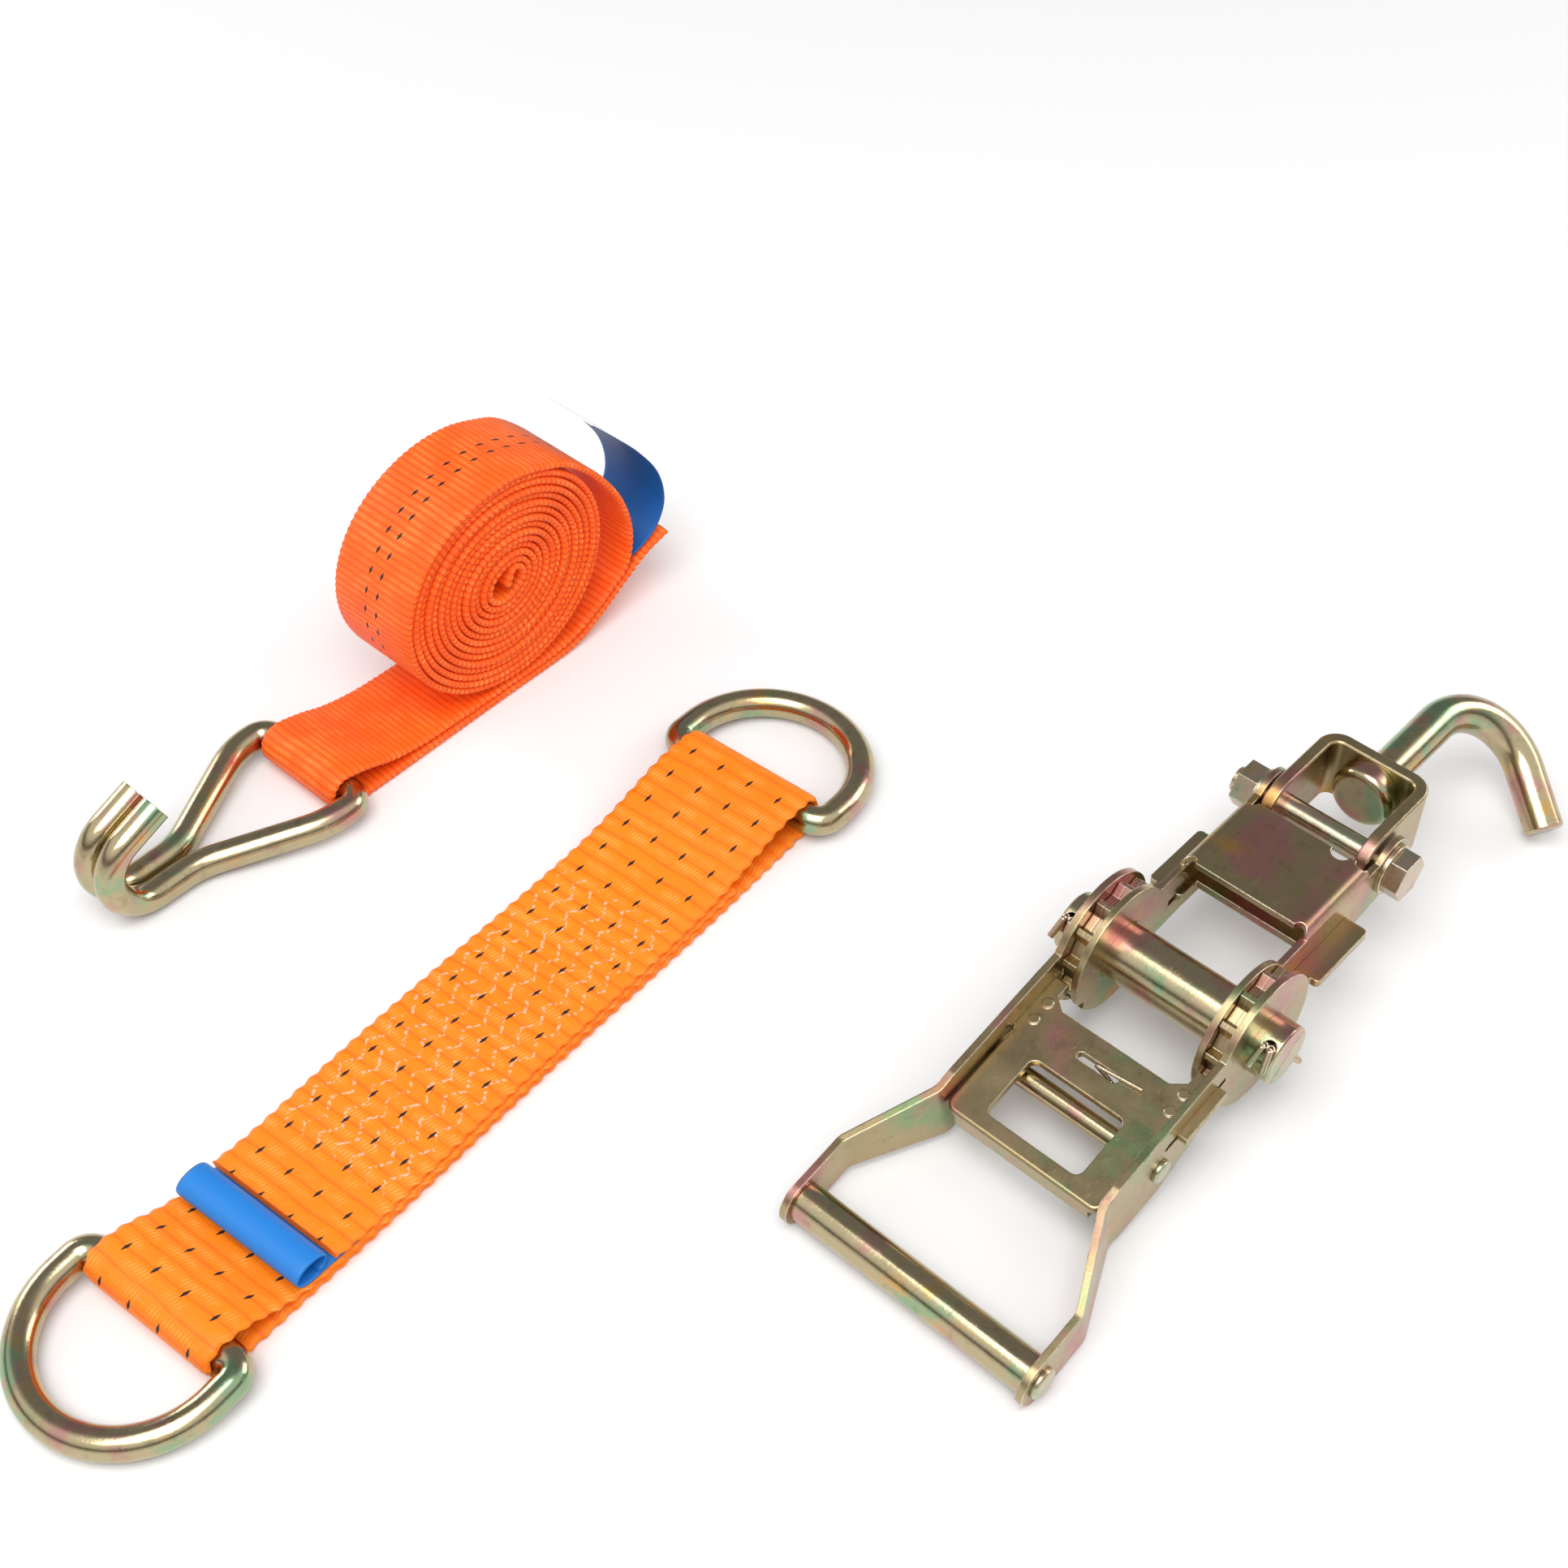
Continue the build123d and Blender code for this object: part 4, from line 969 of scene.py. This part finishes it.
@dataclass
class LinkStrap:
    """The short strap between the D-rings: one webbing folded in three layers and sewn through.

    Args:
        width: Width of the strap, in metres.
        sheet: Its thickness, in metres.
        bar_height: Height of the D-rings' bars above the floor, in millimetres.
        loop_inside: Inner radius of the loops round those bars, in millimetres.
        label_width: Width of the rolled label, in metres.
        label_sheet: Its thickness, in metres.
        roll_middle: Middle of the roll, along and above the floor, in millimetres.
        roll_radii: Half its length and half its height, in millimetres.
        roll_shrink: How much smaller the roll is one turn further in, as a share.
        finish: The webbing's finish.
    """

    width: float = 0.048
    sheet: float = 0.0022
    bar_height: float = 7.1
    loop_inside: float = 4.7
    label_width: float = 0.0465
    label_sheet: float = 0.0005
    roll_middle: Point2 = (-88.0, 9.5)
    roll_radii: Point2 = (6.1, 3.8)
    roll_shrink: float = 0.2
    finish: WebbingFinish = WebbingFinish(
        "orange_webbing",
        # The next colour is painted shade between the ribs, also used for random faded patches.
        valley_shade_and_fade=(0.95, 0.165, 0.003),
        base=(1.0, 0.235, 0.004),
        # The next colour is a painted highlight on the rib tops.
        painted_crest_highlight=(1.0, 0.40, 0.08),
        width=width,
        rib=0.0054,
        yarn=0.0012,
        rows=(-0.0168, -0.0056, 0.0056, 0.0168),
        dash_pitch=0.0108,
        dash_length=0.0040,
        relief=0.00032,
        sewn=(0.535, 0.655),
    )

    def build(self, label: bpy.types.Material) -> None:
        """Builds the webbing and the rolled label.

        Args:
            label: The label's material.
        """
        origin, heading, half = self.bars()
        layer = self.sheet / MM
        radius = self.loop_inside + layer / 2
        knots: list[Point2] = [(84.0, 1.5 * layer + 0.2)]
        knots += [(x, 1.5 * layer + 0.1) for x in (50.0, 10.0, -30.0, -60.0)]
        knots += [(-82.0, 3.8), (-92.0, 4.8), (-101.0, 7.4), (-109.0, 11.0)]
        knots += arc((-half, self.bar_height), (radius, radius), range(95, 271, 25))
        knots += [(x, 0.5 * layer) for x in (-100.0, -60.0, -20.0, 20.0, 60.0, 100.0)]
        knots += arc((half, self.bar_height), (radius, radius), range(270, 446, 25))
        knots += [(106.0, 12.6), (94.0, 10.2), (82.0, 7.8), (68.0, 6.1)]
        knots += [(x, 2.5 * layer + 0.2) for x in (48.0, 20.0, -20.0, -50.0, -66.0)]
        knots += [(-76.0, 6.5), (-81.0, 7.5)]
        run = StrapRun(origin, heading).smooth(knots, 0.0015)
        strap = Strap(
            "link_strap_webbing",
            run,
            self.width,
            self.sheet,
            spacing=0.0009,
            ripple=0.00035,
            ripple_pitch=0.0054,
        ).build()
        strap.data.materials.append(self.finish.material())
        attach(strap, "link_strap")
        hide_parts("link_webbing", "link_flap")
        run.length()
        self.build_roll(origin, heading, label)

    def bars(self) -> tuple[Vector, Vector, float]:
        """Where the D-rings' bars are.

        Returns:
            The middle between them on the floor, the direction from near to far, and half their
            distance in millimetres.
        """
        joints = {joint["name"]: joint for joint in frame["joints"]}
        near = Vector(joints["d_ring_near_swing"]["pos_m"])
        far = Vector(joints["d_ring_far_swing"]["pos_m"])
        middle = (near + far) / 2
        middle.z = Layout.FLOOR.value
        along = far - near
        return middle, along.normalized(), along.length / 2 / MM

    def build_roll(self, origin: Vector, heading: Vector, label: bpy.types.Material) -> None:
        """Builds the label that is rolled up against the top layer's end.

        Args:
            origin: The middle between the bars, on the floor.
            heading: The direction from near to far.
            label: The label's material.
        """
        outermost = 285
        knots: list[Point2] = [(-70.0, 5.1), (-78.0, 5.3)]
        for angle in range(outermost, -80, -20):
            grow = 1 - self.roll_shrink * (outermost - angle) / 360
            knots += arc(self.roll_middle, (self.roll_radii[0] * grow, self.roll_radii[1] * grow), [angle])
        run = StrapRun(origin, heading).smooth(knots, 0.0008)
        roll = Strap(
            "link_label_roll", run, self.label_width, self.label_sheet, spacing=0.0012, ripple=0.0
        ).build()
        roll.data.materials.append(label)
        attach(roll, "link_strap")
        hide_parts("link_label")
        run.length()


@dataclass(frozen=True)
class Softbox:
    """A square light that faces the set.

    Args:
        name: Its name.
        place: Where it hangs, from the middle of the set, in metres.
        size: Its side, in metres.
        power: Its power, in watts.
    """

    name: str
    place: Triple
    size: float
    power: float

    def build(self, target: Vector) -> None:
        """Hangs the light.

        Args:
            target: The middle of the set.
        """
        data = bpy.data.lights.new(self.name, "AREA")
        data.size, data.energy = self.size, self.power
        lamp = bpy.data.objects.new(self.name, data)
        lamp.location = target + Vector(self.place)
        lamp.rotation_mode = "QUATERNION"
        lamp.rotation_quaternion = (-Vector(self.place)).to_track_quat("-Z", "Y")
        bpy.context.scene.collection.objects.link(lamp)


@dataclass
class Studio:
    """The pale table, the soft lights and the camera.

    Args:
        target: The middle of the set, on the floor.
        distance: From the target to the camera, in metres.
        azimuth: The camera's turn about the upright, in degrees.
        elevation: The camera's angle above the floor, in degrees.
        lens: Focal length, in millimetres.
        softboxes: The lights.
        horizon: Colour of the room low down.
        dark_band: Colour of the dark band above it, which the plating reflects.
        ceiling: Colour of the room overhead.
        dark_patch: Colour of the patch across from the camera.
        table_size: Side of the table, in metres.
        table_gap: Gap between the table and the set, in metres.
    """

    target: Vector = field(default_factory=lambda: Vector((0.0041, 0.1498, Layout.FLOOR.value)))
    distance: float = 0.735
    azimuth: float = -47.7
    elevation: float = 46.5
    lens: float = 53.66
    softboxes: tuple[Softbox, ...] = (
        Softbox("key_softbox", (-0.5, -0.25, 1.15), 0.9, 11.0),
        Softbox("fill_softbox", (1.1, -0.6, 0.6), 0.6, 4.0),
        Softbox("rim_strip", (-0.2, 1.3, 0.5), 0.5, 4.0),
    )
    horizon: Colour = (0.92, 0.92, 0.92)
    dark_band: Colour = (0.12, 0.11, 0.10)
    ceiling: Colour = (1.0, 1.0, 1.0)
    dark_patch: Colour = (0.26, 0.26, 0.27)
    table_size: float = 12.0
    table_gap: float = 0.0002

    def build(self) -> None:
        """Builds the camera, table, lights and room."""
        self.build_camera()
        self.build_table()
        for softbox in self.softboxes:
            softbox.build(self.target)
        self.build_room()
        bpy.context.scene.view_settings.view_transform = "Standard"

    def build_room(self) -> None:
        """Builds the surroundings that light the set and show in the plating."""
        world = bpy.data.worlds.new("studio_air")
        world.use_nodes = True
        bench = NodeBench(world.node_tree)
        direction = bench.add("ShaderNodeTexCoord").outputs["Generated"]
        height = bench.axes(direction)[2]
        colour = bench.mix(bench.band(height, 0.14, 0.24), self.horizon, self.dark_band)
        colour = bench.mix(bench.band(height, 0.26, 0.60), colour, self.ceiling)
        back = self.back()
        across = bench.dot(direction, (-back.x, -back.y, back.z))
        colour = bench.mix(bench.band(across, 0.55, 0.88), colour, self.dark_patch)
        background = world.node_tree.nodes["Background"]
        bench.feed(background.inputs[0], colour)
        background.inputs[1].default_value = 1.0
        bpy.context.scene.world = world

    def back(self) -> Vector:
        """Direction from the target to the camera."""
        turn, tilt = math.radians(self.azimuth), math.radians(self.elevation)
        return Vector((math.sin(turn) * math.cos(tilt), -math.cos(turn) * math.cos(tilt), math.sin(tilt)))

    def build_camera(self) -> None:
        """Places the camera."""
        data = bpy.data.cameras.new("camera")
        data.lens, data.sensor_width = self.lens, 36.0
        data.clip_start, data.clip_end = 0.01, 20.0
        camera = bpy.data.objects.new("camera", data)
        camera.location = self.target + self.back() * self.distance
        camera.rotation_mode = "QUATERNION"
        camera.rotation_quaternion = (-self.back()).to_track_quat("-Z", "Y")
        bpy.context.scene.collection.objects.link(camera)
        bpy.context.scene.camera = camera

    def build_table(self) -> None:
        """Adds the table top just under the set."""
        bpy.ops.object.select_all(action="DESELECT")
        bpy.ops.mesh.primitive_plane_add(
            size=self.table_size, location=(0, 0, Layout.FLOOR.value - self.table_gap)
        )
        table = bpy.context.active_object
        table.name = "table_top"
        table.data.materials.append(FloorFinish().material())
        table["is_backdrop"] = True


def main() -> None:
    """Builds the set in order and reports each piece."""
    logging.basicConfig(level=logging.INFO, format="%(name)s: %(message)s")
    Studio().build()
    Hardware().dress()
    pale_outside = LabelFinish("lashing_label", face=(0.84, 0.85, 0.88), back=(0.005, 0.115, 0.42))
    blue = LabelFinish("link_label", face=(0.01, 0.21, 0.66), back=(0.02, 0.24, 0.68))
    LongStrap().build(pale_outside.material())
    LinkStrap().build(blue.material())


if __name__ == "__main__":
    main()
